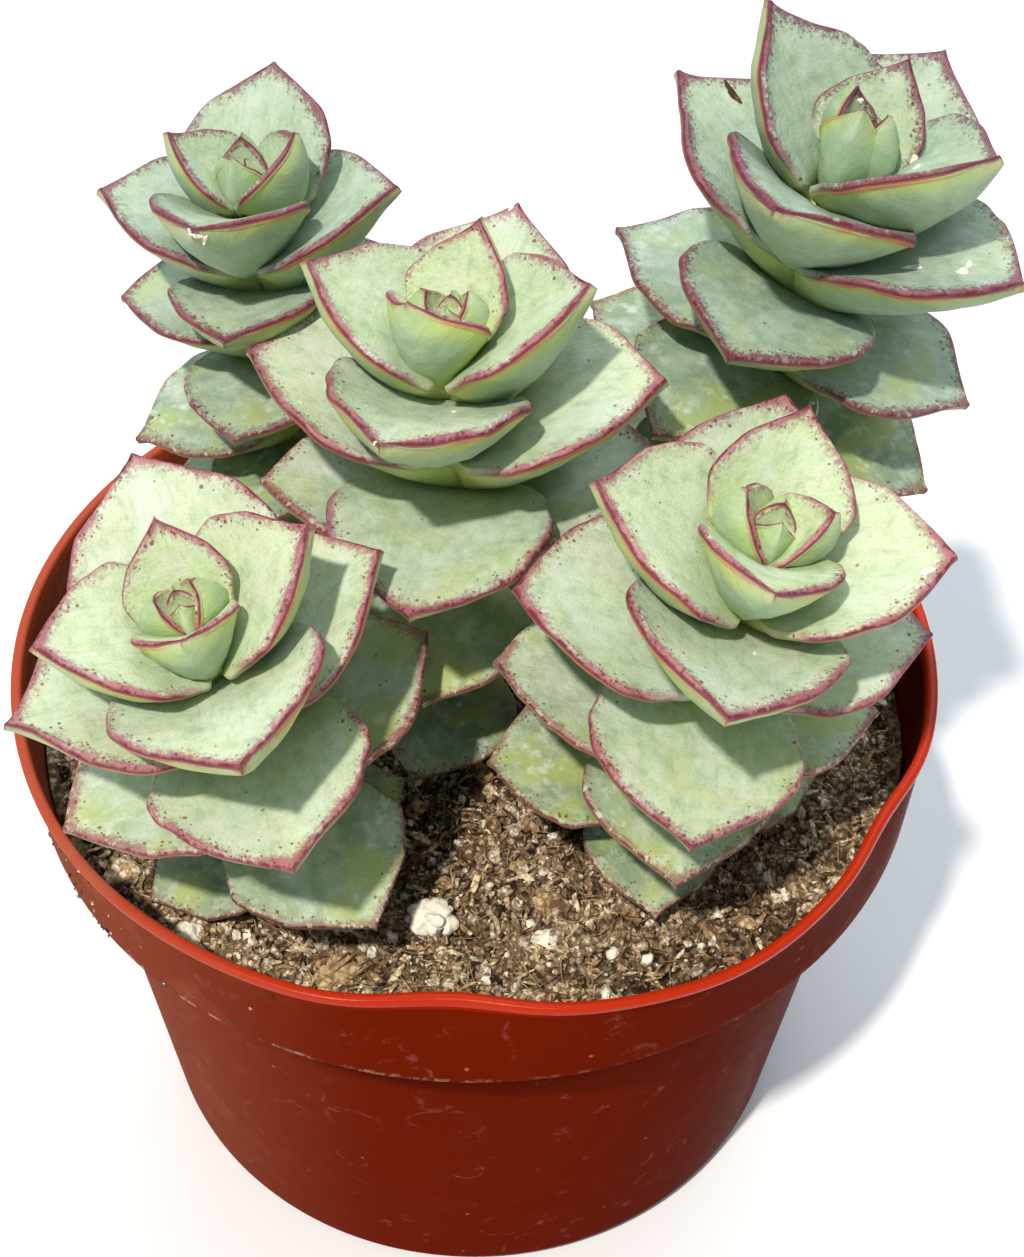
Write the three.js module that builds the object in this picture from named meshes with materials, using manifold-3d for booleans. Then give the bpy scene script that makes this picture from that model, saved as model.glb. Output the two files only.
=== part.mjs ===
// A succulent with five leafy towers, growing in a plastic nursery pot.
// Millimetres, +Z up, +Y towards the back. The origin is the centre of the pot's underside.
// The thick leaves sit in opposite pairs, each pair grown together round its stem and set
// nearly square to the pair below, so a tower looks like a string of stacked rosettes.

import * as THREE from 'three';
import { mergeVertices } from 'three/addons/utils/BufferGeometryUtils.js';
import Module from 'manifold-3d';

const wasm = await Module();
wasm.setup();

// Driving dimensions of the pot
const POT_HEIGHT = 70;
const RIM_RADIUS = 52.6;
const BAND_RADIUS = 51.5;
const BAND_BOTTOM = 57;
const LEDGE = 4.4;
const STEP_RISE = 0.5;
const EDGE_ROUND = 0.5;
const FOOT_RADIUS = 41.2;
const FOOT_BEVEL = 1.4;
const WALL = 1.2;
const LIP = 1.2;
const FLOOR = 1.6;
const POT_SIDES = 48;
const DRAIN_RADIUS = 2.4;
const DRAIN_CIRCLE = 30;
const DRAIN_COUNT = 6;
const DRAIN_SIDES = 8;

// The soft lip is out of round, and its bends fade out down to the band's lower edge:
// [bearing, move outwards, spread], in degrees and millimetres
const BEND_POWER = 1.5;
const LIP_BENDS = [
  [-138, 0.6, 20],
  [-91, -2.3, 10],
  [-59, 1.1, 12],
  [-30, -1.4, 9],
];

// Driving dimensions of the soil and what lies on it
const GAP = 0.3;
const PEBBLE_GAP = 0.4;
const PEBBLE_KNOBS = 0.13;
const PEBBLE_RISE = 1 / 6;
const SOIL_LEVEL = 59.6;
const SOIL_SIDES = 36;
const SOIL_RINGS = [48.3, 41, 33, 25, 17, 8];
const SOIL_EDGE_DROP = 0.5;
const STEM_DIP = 1.3;
const STEM_DIP_WIDTH = 11;

// Waves of the soil's surface: [height, radians per mm east, radians per mm north, phase]
const SOIL_WAVES = [
  [0.35, 0.31, 0.27, 1.1],
  [0.25, 0.83, -0.64, 0.4],
  [0.2, 0.55, 1.02, 1.6],
];

// Driving dimensions of the stems and leaves. Half width is a part of the leaf's length,
// and depths are those of a leaf of full length.
const STEM_RADIUS = 2.6;
const STEM_SIDES = 6;
const STEM_STEPS = 5;
const ROOT_LEVEL = 36;
const FULL_LEAF = 22;
const LEAST_THICKNESS = 0.45;
const LEAF_HALF_WIDTH = 0.48;
const MARGIN_THICKNESS = 0.9;
const STEEP_RISE = 50;
const BASE_OVERLAP = [-0.5, 0, -1];
const JOIN_TOLERANCE = 0.06;

// How a leaf's form follows its rise in degrees: a flat leaf arches over and is nearly level
// across, and a steep one curls inwards, is cupped and is narrower
const FLAT_CURL = -14;
const CURL_PER_RISE_SQUARED = 0.0154;
const MOST_CURL = 70;
const FLAT_CUP = 0.14;
const CUP_PER_RISE = 0.011;
const CUP_LOSS_AT_TIP = 0.5;
const CUP_POWER = 1.8;
const BELLY_POWER = 2.2;
const FLAT_WIDTH = 1.02;
const STEEP_WIDTH_LOSS = 0.2;
const NARROWEST_RISE = 75;

// Outline of a leaf from stem to tip: [part of the length, part of the half width, depth]
const LEAF_STATIONS = [
  [0, 0.46, 2.6],
  [0.22, 0.86, 3.4],
  [0.48, 1, 3.8],
  [0.74, 0.71, 2.9],
  [0.92, 0.24, 1.6],
];

// Half a leaf's section, from the middle to the margin, as parts of the half width
const UNDERSIDE_STOPS = [1, 0.4, -0.4, -1];
const UPPERSIDE_STOPS = [-1, 0, 1];

const MATERIALS = {
  pot: new THREE.MeshStandardMaterial({ color: 0xb5402a, roughness: 0.42, metalness: 0 }),
  soil: new THREE.MeshStandardMaterial({ color: 0x6d5642, roughness: 0.95, metalness: 0 }),
  perlite: new THREE.MeshStandardMaterial({ color: 0xe6dccb, roughness: 0.9, metalness: 0 }),
  bark: new THREE.MeshStandardMaterial({ color: 0xa98358, roughness: 0.9, metalness: 0 }),
  leaf: new THREE.MeshStandardMaterial({ color: 0xa3b89a, roughness: 0.5, metalness: 0 }),
};

// Each tower: where its stem leaves the soil, where it ends, how it bows between the two,
// and its leaf pairs from the top down as
// [height, bearing, length, rise of the first leaf, further rise of the leaf opposite] and,
// where the leaf opposite differs in length, its length over the first one's.
// Bearings and rises are in degrees.
const TOWERS = {
  tower_back_left: {
    base: [-19, 14],
    top: [-24, 10.5, 122],
    bow: [1.5, 1.5],
    pairs: [
      [120.2, 82, 6.7, 77, 0],
      [119, -8, 11.5, 57, 0],
      [116, 79, 17.5, 42, 0],
      [112.5, -5, 18, 33, 0],
      [108.5, 82, 17, 24, 0],
      [104.5, 2, 16.5, 18, 0],
      [100, 79, 17, 9, 0],
      [95, 18, 18, -3, 0],
      [89, 79, 16, 0, 0],
      [82, 5, 16, 2, 0],
      [75, 80, 13, 0, 0],
      [66.5, 5, 14, -3, 0],
    ],
  },
  tower_centre: {
    base: [-0.5, 0],
    top: [-2.7, -6, 117],
    bow: [0.7, 0],
    pairs: [
      [115.7, -9, 6.7, 74, 0],
      [114.5, 61, 13, 61, 0],
      [111, -8, 19, 45, 0],
      [107, 71, 21.5, 34, 0],
      [102.5, -7, 23, 26, 0],
      [96.5, 80, 23.5, 12, 0],
      [90, 6, 22.5, 24, 0],
      [80.5, 78, 18.5, 4, 0],
      [73.5, 5, 19.5, 4, 0],
      [65, 69, 17, 0, 0],
    ],
  },
  tower_back_right: {
    base: [21.5, 17],
    top: [36, 10, 127],
    bow: [2, -0.5],
    pairs: [
      [125.2, -52, 9.2, 77, 0],
      [124, 60, 13.5, 61, 18, 0.8],
      [121.5, -42, 21, 49, 0],
      [118.5, 57, 22.5, 36, 1],
      [115, -38, 23.5, 28, 0],
      [110.5, 60, 22, 15, 0],
      [106, -26, 21, 4, 0],
      [101.5, 49, 21.5, 2, 0],
      [96.5, -28, 21.5, -2, 0],
      [90, 55, 17.5, 0, 0],
      [83, -28, 18, 0, 0],
      [75.5, 55, 14.5, 0, 0],
      [67.5, -28, 15, -3, 0],
    ],
  },
  tower_front_left: {
    base: [-20.5, -24.5],
    top: [-25.5, -32, 102.5],
    bow: [2.5, 2],
    pairs: [
      [101.2, 25, 7.1, 76, 0],
      [100, 107, 12, 56, 0],
      [97, 25, 18, 43, 0],
      [94, 111, 22.5, 33, 0],
      [90, 28, 20.8, 30, 0, 1.09],
      [84.5, 110, 22.5, 17, 0],
      [78, 33, 21.5, 16, 0],
      [70.5, 126, 20, 1, 0],
      [63.5, 32, 15.5, -2, 0],
    ],
  },
  tower_front_right: {
    base: [18.5, -19],
    top: [27, -26, 108.5],
    bow: [-1.2, 2.5],
    pairs: [
      [106.7, -6, 10, 68, 0],
      [105.5, 79, 15.5, 47, 0],
      [101.5, -3, 20.5, 34, 0],
      [97, 79, 22.5, 31, 0],
      [91.5, 2, 22, 18, 0],
      [86, 85, 22.5, 9, 0],
      [81, 0, 20.5, 11, 0],
      [75.5, 90, 20, 8, 0],
      [70, 6, 18.5, 2, 0],
      [65, 93, 15.5, -2, 0],
    ],
  },
};

// Loose pieces on the soil: [name, material, east, north, length, width, height, turn]
const LOOSE_PIECES = [
  ['perlite_front', 'perlite', -3.6, -33.4, 6.2, 5.4, 4.6, 20],
  ['perlite_left', 'perlite', -43.4, -17.3, 3.8, 3.2, 2.6, 60],
  ['perlite_front_left', 'perlite', -29.1, -36.5, 4.2, 3.2, 2.6, 100],
  ['perlite_right', 'perlite', 8.6, -35.5, 3.2, 2.6, 2, 10],
  ['bark_left', 'bark', -37.5, -28.5, 4.6, 3.4, 2.4, 40],
  ['bark_right', 'bark', 9, -31, 4.2, 2.8, 2, 150],
  ['bark_front', 'bark', -13.5, -40, 7, 4.2, 1.8, 50],
];

// Turns a closed three.js geometry into a solid that can be joined and cut
function toSolid(geometry) {
  const bare = geometry.index ? geometry.clone() : geometry;
  for (const name of Object.keys(bare.attributes)) {
    if (name !== 'position') bare.deleteAttribute(name);
  }
  const merged = mergeVertices(bare, 1e-4);
  return new wasm.Manifold(
    new wasm.Mesh({
      numProp: 3,
      vertProperties: new Float32Array(merged.attributes.position.array),
      triVerts: new Uint32Array(merged.index.array),
    }),
  );
}

function toGeometry(solid) {
  const mesh = solid.getMesh();
  const geometry = new THREE.BufferGeometry();
  geometry.setAttribute('position', new THREE.BufferAttribute(new Float32Array(mesh.vertProperties), 3));
  geometry.setIndex(new THREE.BufferAttribute(new Uint32Array(mesh.triVerts), 1));
  geometry.computeVertexNormals();
  return geometry;
}

function toMesh(name, solid, material) {
  const mesh = new THREE.Mesh(toGeometry(solid), material);
  mesh.name = name;
  return mesh;
}

// A closed solid turned round the vertical axis from a half section
function turned(points, sides) {
  const profile = points.map(([radius, height]) => new THREE.Vector2(radius, height));
  const geometry = new THREE.LatheGeometry(profile, sides);
  return geometry.rotateX(Math.PI / 2);
}

// The pot's inner wall radius at a height, on the tapered body below the band
function innerRadius(height) {
  const bodyTop = BAND_RADIUS - LEDGE;
  const part = height / BAND_BOTTOM;
  return THREE.MathUtils.lerp(FOOT_RADIUS, bodyTop, part) - WALL;
}

// How far the lip is pushed outwards on a bearing
function lipBend(bearing) {
  const share = ([at, move, spread]) => move * Math.exp(-(((bearing - at) / spread) ** 2));
  return LIP_BENDS.reduce((sum, bend) => sum + share(bend), 0);
}

// Pushes the band out of round, most at the lip and not at all at its lower edge
function bendBand(geometry) {
  const position = geometry.attributes.position;
  for (let i = 0; i < position.count; i += 1) {
    const part = (position.getZ(i) - BAND_BOTTOM) / (POT_HEIGHT - BAND_BOTTOM);
    if (part > 0) {
      const angle = Math.atan2(position.getY(i), position.getX(i));
      const move = lipBend(THREE.MathUtils.radToDeg(angle)) * part ** BEND_POWER;
      position.setX(i, position.getX(i) + move * Math.cos(angle));
      position.setY(i, position.getY(i) + move * Math.sin(angle));
    }
  }
  return geometry;
}

// One thin wall: tapered body, wider band round the top, rolled lip, and a floor with drain holes
function potSolid() {
  const bodyTop = BAND_RADIUS - LEDGE;
  const lipBottom = POT_HEIGHT - LIP;
  const step = BAND_BOTTOM + STEP_RISE;
  const wall = turned(
    [
      [0, 0],
      [FOOT_RADIUS - FOOT_BEVEL, 0],
      [FOOT_RADIUS, FOOT_BEVEL],
      [bodyTop, BAND_BOTTOM - EDGE_ROUND],
      [BAND_RADIUS, BAND_BOTTOM],
      [RIM_RADIUS - EDGE_ROUND, lipBottom],
      [RIM_RADIUS, lipBottom + EDGE_ROUND],
      [RIM_RADIUS, POT_HEIGHT - EDGE_ROUND],
      [RIM_RADIUS - EDGE_ROUND, POT_HEIGHT],
      [RIM_RADIUS - LIP + EDGE_ROUND, POT_HEIGHT],
      [RIM_RADIUS - LIP, POT_HEIGHT - EDGE_ROUND],
      [BAND_RADIUS - WALL, step + EDGE_ROUND],
      [innerRadius(step), step],
      [innerRadius(FLOOR), FLOOR],
      [0, FLOOR],
    ],
    POT_SIDES,
  );
  let pot = toSolid(bendBand(wall));
  for (let i = 0; i < DRAIN_COUNT; i += 1) {
    const angle = ((i + 0.5) / DRAIN_COUNT) * Math.PI * 2;
    const drill = new THREE.CylinderGeometry(DRAIN_RADIUS, DRAIN_RADIUS, FLOOR * 3, DRAIN_SIDES);
    drill.rotateX(Math.PI / 2);
    drill.translate(DRAIN_CIRCLE * Math.cos(angle), DRAIN_CIRCLE * Math.sin(angle), FLOOR / 2);
    pot = pot.subtract(toSolid(drill));
  }
  return pot;
}

// Height of the soil: low waves all over, and a shallow dip round each stem
function soilHeight(east, north) {
  let height = SOIL_LEVEL;
  for (const [rise, eastward, northward, phase] of SOIL_WAVES) {
    height += rise * Math.sin(east * eastward + north * northward + phase);
  }
  for (const { base } of Object.values(TOWERS)) {
    const distance = Math.hypot(east - base[0], north - base[1]);
    height -= STEM_DIP * Math.exp(-((distance / STEM_DIP_WIDTH) ** 2));
  }
  return height;
}

// The soil fills the body, and a thin shelf of it lies on the step inside the band
function soilBlock() {
  const bottom = FLOOR + GAP;
  const step = BAND_BOTTOM + STEP_RISE;
  const edge = BAND_RADIUS - WALL - 2 * GAP;
  const profile = [
    [0, bottom],
    [innerRadius(bottom) - GAP, bottom],
    [innerRadius(step) - GAP, step + GAP],
    [edge, step + EDGE_ROUND + GAP],
    [edge, SOIL_LEVEL - SOIL_EDGE_DROP],
    ...SOIL_RINGS.map((radius) => [radius, SOIL_LEVEL]),
    [0, SOIL_LEVEL],
  ];
  const geometry = turned(profile, SOIL_SIDES);
  const position = geometry.attributes.position;
  for (let i = 0; i < position.count; i += 1) {
    if (Math.abs(position.getZ(i) - SOIL_LEVEL) < 0.01) {
      position.setZ(i, soilHeight(position.getX(i), position.getY(i)));
    }
  }
  return toSolid(geometry);
}

// Point on a tower's axis. At part 0 it leaves the soil, and at part 1 it ends.
function axisPoint(tower, part) {
  const start = new THREE.Vector3(...tower.base, SOIL_LEVEL);
  const end = new THREE.Vector3(...tower.top);
  const middle = start.clone().lerp(end, 0.5).add(new THREE.Vector3(...tower.bow, 0));
  const rest = 1 - part;
  return start
    .multiplyScalar(rest * rest)
    .addScaledVector(middle, 2 * rest * part)
    .addScaledVector(end, part * part);
}

function axisPart(tower, height) {
  return (height - SOIL_LEVEL) / (tower.top[2] - SOIL_LEVEL);
}

// A stem of the given radius, from its buried end up into the pair below the bud
function stemSolid(tower, radius, rootLevel) {
  const top = axisPart(tower, tower.pairs[1][0]);
  const parts = [axisPart(tower, rootLevel), 0, 0.25, 0.5, 0.75, top];
  const path = new THREE.CatmullRomCurve3(parts.map((part) => axisPoint(tower, part)));
  const outline = [];
  for (let i = 0; i < STEM_SIDES; i += 1) {
    const angle = (i / STEM_SIDES) * Math.PI * 2;
    outline.push(new THREE.Vector2(radius * Math.cos(angle), radius * Math.sin(angle)));
  }
  const options = { steps: STEM_STEPS, bevelEnabled: false, extrudePath: path };
  return toSolid(new THREE.ExtrudeGeometry(new THREE.Shape(outline), options));
}

// Points of one leaf on its own axes: x outwards, y sideways, z up. A steep leaf is narrower,
// more cupped and more curled inwards than a flat one.
function leafRings(length, rise) {
  const angle = THREE.MathUtils.degToRad(rise);
  const curlDegrees = Math.min(MOST_CURL, FLAT_CURL + CURL_PER_RISE_SQUARED * rise * rise);
  const curl = THREE.MathUtils.degToRad(curlDegrees);
  const cup = FLAT_CUP + CUP_PER_RISE * rise;
  const narrowing = FLAT_WIDTH - STEEP_WIDTH_LOSS * (rise / NARROWEST_RISE) ** 2;
  const halfWidth = LEAF_HALF_WIDTH * length * narrowing;
  const thickness = THREE.MathUtils.lerp(LEAST_THICKNESS, 1, length / FULL_LEAF);

  const tip = new THREE.Vector2(length * Math.cos(angle), length * Math.sin(angle));
  const sag = length * Math.tan(curl / 4);
  const bend = new THREE.Vector2(sag * Math.sin(angle), -sag * Math.cos(angle)).addScaledVector(tip, 0.5);
  const rib = new THREE.QuadraticBezierCurve(new THREE.Vector2(0, 0), bend, tip);

  const rings = LEAF_STATIONS.map(([along, wide, deep]) => {
    const centre = rib.getPoint(along);
    const tangent = along === 0 ? new THREE.Vector2(1, 0) : rib.getTangent(along);
    const half = halfWidth * wide;
    const margin = MARGIN_THICKNESS * thickness;
    const depth = deep * thickness - margin;
    const lifted = cup * (1 - CUP_LOSS_AT_TIP * along ** 1.5) * half;
    const point = (side, drop) => {
      const up = lifted * Math.abs(side) ** CUP_POWER - drop;
      return [centre.x - tangent.y * up, side * half, centre.y + tangent.x * up];
    };
    const upper = UPPERSIDE_STOPS.map((side) => point(side, 0));
    const belly = (side) => margin + depth * (1 - Math.abs(side) ** BELLY_POWER);
    const lower = UNDERSIDE_STOPS.map((side) => point(side, belly(side)));
    return [...upper, ...lower];
  });
  return { rings, tip: [tip.x, 0, tip.y - MARGIN_THICKNESS / 2] };
}

// The closed skin from a point, through rings of equal count, to another point
function skin(start, rings, end, place) {
  const count = rings[0].length;
  const corners = [...rings.flat(), start, end];
  const last = (rings.length - 1) * count;
  const startIndex = last + count;
  const faces = [];
  for (let j = 0; j < count; j += 1) {
    const next = (j + 1) % count;
    faces.push(startIndex, j, next);
    for (let i = 0; i < last; i += count) {
      faces.push(i + j, i + count + j, i + count + next);
      faces.push(i + j, i + count + next, i + next);
    }
    faces.push(last + j, startIndex + 1, last + next);
  }
  const geometry = new THREE.BufferGeometry();
  geometry.setAttribute('position', new THREE.Float32BufferAttribute(corners.flat(), 3));
  geometry.setIndex(faces);
  geometry.applyMatrix4(place);
  return toSolid(geometry);
}

// Two opposite leaves. Flat ones are one skin from tip to tip through the stem. Steep ones
// touch above the stem, so each is closed behind the stem and they are joined there.
function leafPair(tower, [height, bearing, length, rise, extra, otherLength = 1]) {
  const place = leafPlace(tower, height, bearing);
  const turnedOver = ([x, y, z]) => [-x, y, z];
  const first = leafRings(length, rise);
  const second = leafRings(length * otherLength, rise + extra);
  const secondRings = second.rings.map((ring) => ring.map(turnedOver)).reverse();
  const secondTip = turnedOver(second.tip);
  if (rise < STEEP_RISE) {
    return [skin(secondTip, [...secondRings, ...first.rings.slice(1)], first.tip, place)];
  }
  return [
    skin(BASE_OVERLAP, first.rings, first.tip, place),
    skin(secondTip, secondRings, turnedOver(BASE_OVERLAP), place),
  ];
}

// Axes of a leaf on the stem: outwards on its bearing, sideways, and along the stem
function leafPlace(tower, height, bearing) {
  const part = axisPart(tower, height);
  const centre = axisPoint(tower, part);
  const along = axisPoint(tower, part + 0.01).sub(axisPoint(tower, part - 0.01)).normalize();
  const east = new THREE.Vector3(1, 0, 0);
  east.addScaledVector(along, -east.dot(along)).normalize();
  const out = east.applyAxisAngle(along, THREE.MathUtils.degToRad(bearing));
  const side = new THREE.Vector3().crossVectors(along, out);
  return new THREE.Matrix4().makeBasis(out, side, along).setPosition(centre);
}

// The outer body of a solid, with any small hollow that joining has sealed filled in
function outerBody(solid) {
  return solid.decompose().reduce((best, body) => (body.volume() > best.volume() ? body : best));
}

// A stem with all its leaves, as one body
function towerSolid(tower) {
  const stem = stemSolid(tower, STEM_RADIUS, ROOT_LEVEL);
  const leaves = tower.pairs.flatMap((pair) => leafPair(tower, pair));
  return outerBody(wasm.Manifold.union([stem, ...leaves]).simplify(JOIN_TOLERANCE));
}

// A rough pebble or chip, sunk a third of its height into the soil and grown by a clearance
function pebbleSolid(piece, clearance) {
  const [, , east, north, length, width, height, turn] = piece;
  const geometry = new THREE.IcosahedronGeometry(1, 1);
  const position = geometry.attributes.position;
  for (let i = 0; i < position.count; i += 1) {
    const x = position.getX(i);
    const y = position.getY(i);
    const z = position.getZ(i);
    const knobs = Math.sin(5 * x + turn) * Math.cos(4 * y + east);
    const rough = 1 + PEBBLE_KNOBS * (knobs + 0.6 * Math.sin(7 * z + north));
    position.setXYZ(i, x * rough, y * rough, z * rough);
  }
  geometry.scale(length / 2 + clearance, width / 2 + clearance, height / 2 + clearance);
  geometry.rotateZ(THREE.MathUtils.degToRad(turn));
  geometry.translate(east, north, soilHeight(east, north) + height * PEBBLE_RISE);
  return toSolid(geometry);
}

const plant = new THREE.Group();
plant.add(toMesh('pot', potSolid(), MATERIALS.pot));

let soil = soilBlock();
for (const tower of Object.values(TOWERS)) {
  soil = soil.subtract(stemSolid(tower, STEM_RADIUS + GAP, ROOT_LEVEL - GAP));
}
for (const piece of LOOSE_PIECES) {
  soil = soil.subtract(pebbleSolid(piece, PEBBLE_GAP));
  plant.add(toMesh(piece[0], pebbleSolid(piece, 0), MATERIALS[piece[1]]));
}
plant.add(toMesh('soil', soil, MATERIALS.soil));

for (const [name, tower] of Object.entries(TOWERS)) {
  plant.add(toMesh(name, towerSolid(tower), MATERIALS.leaf));
}

export default plant;
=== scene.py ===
# A succulent with five leafy towers in a plastic nursery pot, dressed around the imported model.
# Sizes are in millimetres, and mesh_object turns them into metres.
import math

import bpy
import numpy as np
from mathutils import Matrix, Vector


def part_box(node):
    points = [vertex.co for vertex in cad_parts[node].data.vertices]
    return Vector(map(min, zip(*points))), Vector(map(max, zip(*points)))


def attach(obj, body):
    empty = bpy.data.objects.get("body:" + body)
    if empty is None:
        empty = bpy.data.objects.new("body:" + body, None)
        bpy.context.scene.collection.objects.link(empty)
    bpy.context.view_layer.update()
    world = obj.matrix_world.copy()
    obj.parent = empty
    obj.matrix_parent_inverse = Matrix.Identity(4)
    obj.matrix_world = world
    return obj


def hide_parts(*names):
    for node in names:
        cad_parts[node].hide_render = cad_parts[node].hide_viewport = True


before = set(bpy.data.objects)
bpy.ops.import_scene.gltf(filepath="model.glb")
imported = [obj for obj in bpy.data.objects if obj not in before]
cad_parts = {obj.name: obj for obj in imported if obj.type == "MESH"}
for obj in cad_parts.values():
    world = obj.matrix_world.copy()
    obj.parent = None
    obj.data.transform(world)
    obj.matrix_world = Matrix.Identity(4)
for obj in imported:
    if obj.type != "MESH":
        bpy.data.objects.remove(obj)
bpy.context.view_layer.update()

MM = 0.001
TURN = 2 * math.pi
SEED = 7

# The camera stands at the photograph's viewing angle
PHOTO_WIDTH = 1024
PHOTO_HEIGHT = 1257
FOCAL_PIXELS = 2000
SENSOR = 36
CAMERA_TARGET = (4, 0, 71)
CAMERA_DISTANCE = 229
CAMERA_ELEVATION = 44.8
CAMERA_ROLL = 1.6

# The key light stands where the photograph's sun does, seen from the shadows on the leaves
SUN_ELEVATION = 60
SUN_BEARING = -117
KEY_DISTANCE = 3000
KEY_SIZE = 150
KEY_POWER = 93
KEY_TINT = (1.0, 0.93, 0.85)

# A broad fill stands in for the open sky behind the pot
FILL_ELEVATION = 55
FILL_BEARING = 80
FILL_DISTANCE = 2500
FILL_SIZE = 2400
FILL_POWER = 36
FILL_TINT = (0.88, 0.96, 1.0)
LIGHT_TARGET = (0, 0, 80)
WORLD_TINT = (0.86, 0.97, 1.1, 1)
WORLD_STRENGTH = 0.48
STAGE_HALF_SIDE = 3000

# Pot, as in the part's source
POT_HEIGHT = 70
RIM_RADIUS = 52.6
BAND_RADIUS = 51.5
BAND_BOTTOM = 57
LEDGE = 4.4
STEP_RISE = 0.5
FOOT_RADIUS = 41.2
FOOT_BEVEL = 1.4
WALL = 1.2
LIP = 1.2
LIP_STEP = 0.5
FLOOR = 1.6
POT_SIDES = 240
PROFILE_STEP = 3
BAND_UNDERCUT = 0.5
DRAIN_RADIUS = 2.4
DRAIN_CIRCLE = 30
DRAIN_COUNT = 6
DRAIN_SIDES = 28
BEND_POWER = 1.5
LIP_BENDS = [(-138, 0.6, 20), (-91, -2.3, 10), (-59, 1.1, 12), (-30, -1.4, 9)]

# Soil, as in the part's source
SOIL_LEVEL = 59.6
SOIL_WAVES = [(0.35, 0.31, 0.27, 1.1), (0.25, 0.83, -0.64, 0.4), (0.2, 0.55, 1.02, 1.6)]
STEM_DIP = 1.3
STEM_DIP_WIDTH = 11
SOIL_REACH = 50.1
SOIL_EDGE_DROP = 0.5
SOIL_BUMPS = [(11, 0.5), (5, 0.45), (2.4, 0.35), (1.2, 0.25), (0.7, 0.15)]
NOISE_REACH = 65
SOIL_GAP = 0.4
SOIL_RINGS = 92
SOIL_SIDES = 320

# Loose pieces, as in the part's source, with the chips' length, width, height and turn
POPCORN_BALLS = 60
PERLITE = ["perlite_front", "perlite_left", "perlite_front_left", "perlite_right"]
CHIPS = {"bark_left": (4.6, 3.4, 2.4, 40), "bark_right": (4.2, 2.8, 2, 150)}
HUSK = (7, 4.2, 1.8, 50)

# Stems and leaves, as in the part's source
STEM_RADIUS = 2.6
STEM_SIDES = 20
STEM_RINGS = 26
ROOT_LEVEL = 36
FULL_LEAF = 22
LEAST_THICKNESS = 0.45
LEAF_HALF_WIDTH = 0.48
MARGIN_THICKNESS = 1.0
STEEP_RISE = 50
LEAF_STOPS = [0, 0.22, 0.48, 0.74, 0.92, 1]
LEAF_DEPTHS = [2.6, 3.4, 3.8, 2.9, 1.6, 1.0]
OUTLINE_STOPS = [0, 0.22, 0.48, 0.72, 0.86, 0.94, 0.98, 1]
POINTED_OUTLINE = [0.46, 0.86, 1, 0.75, 0.35, 0.125, 0.045, 0.012]
ROUND_OUTLINE = [0.46, 0.86, 1, 0.85, 0.585, 0.32, 0.1, 0.012]
FULLNESS = 0.42
BASE_FILL = 0.92
BASE_FILL_MOST = 6
TIP_REACH = 0.12

# Each tower: where its stem leaves the soil, where it ends, how it bows between the two, and
# its leaf pairs from the top down as (height, bearing, length, rise) and, where the leaf
# opposite differs, its further rise and its length over the first one's. tone is 0 for bluish
# leaves and 1 for bright ones.
TOWERS = {
    "tower_back_left": {
        "tone": 0.25,
        "base": (-19, 14),
        "top": (-24, 10.5, 122),
        "bow": (1.5, 1.5),
        "pairs": [
            (120.2, 82, 6.7, 77),
            (119, -8, 11.5, 57),
            (116, 79, 17.5, 42),
            (112.5, -5, 18, 33),
            (108.5, 82, 17, 24),
            (104.5, 2, 16.5, 18),
            (100, 79, 17, 9),
            (95, 18, 18, -3),
            (89, 79, 16, 0),
            (82, 5, 16, 2),
            (75, 80, 13, 0),
            (66.5, 5, 14, -3),
        ],
    },
    "tower_centre": {
        "tone": 0.85,
        "base": (-0.5, 0),
        "top": (-2.7, -6, 117),
        "bow": (0.7, 0),
        "pairs": [
            (115.7, -9, 6.7, 74),
            (114.5, 61, 13, 61),
            (111, -8, 19, 45),
            (107, 71, 21.5, 34),
            (102.5, -7, 23, 26),
            (96.5, 80, 23.5, 12),
            (90, 6, 22.5, 24),
            (80.5, 78, 18.5, 4),
            (73.5, 5, 19.5, 4),
            (65, 69, 17, 0),
        ],
    },
    "tower_back_right": {
        "tone": 0.1,
        "base": (21.5, 17),
        "top": (36, 10, 127),
        "bow": (2, -0.5),
        "pairs": [
            (125.2, -52, 9.2, 77),
            (124, 60, 13.5, 61, 18, 0.8),
            (121.5, -42, 21, 49),
            (118.5, 57, 22.5, 36, 1, 1),
            (115, -38, 23.5, 28),
            (110.5, 60, 22, 15),
            (106, -26, 21, 4),
            (101.5, 49, 21.5, 2),
            (96.5, -28, 21.5, -2),
            (90, 55, 17.5, 0),
            (83, -28, 18, 0),
            (75.5, 55, 14.5, 0),
            (67.5, -28, 15, -3),
        ],
    },
    "tower_front_left": {
        "tone": 1.0,
        "base": (-20.5, -24.5),
        "top": (-25.5, -32, 102.5),
        "bow": (2.5, 2),
        "pairs": [
            (101.2, 25, 7.1, 76),
            (100, 107, 12, 56),
            (97, 25, 18, 43),
            (94, 111, 22.5, 33),
            (90, 28, 20.8, 30, 0, 1.09),
            (84.5, 110, 22.5, 17),
            (78, 33, 21.5, 16),
            (70.5, 126, 20, 1),
            (63.5, 32, 15.5, -2),
        ],
    },
    "tower_front_right": {
        "tone": 0.95,
        "base": (18.5, -19),
        "top": (27, -26, 108.5),
        "bow": (-1.2, 2.5),
        "pairs": [
            (106.7, -6, 10, 68),
            (105.5, 79, 15.5, 47),
            (101.5, -3, 20.5, 34),
            (97, 79, 22.5, 31),
            (91.5, 2, 22, 18),
            (86, 85, 22.5, 9),
            (81, 0, 20.5, 11),
            (75.5, 90, 20, 8),
            (70, 6, 18.5, 2),
            (65, 93, 15.5, -2),
        ],
    },
}

# A least pair of leaves, against the topmost pair of the source
BUD_RISE = 1.3
BUD_TURN = 84
BUD_SHARE = 0.58
BUD_STEEPNESS = 78

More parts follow.
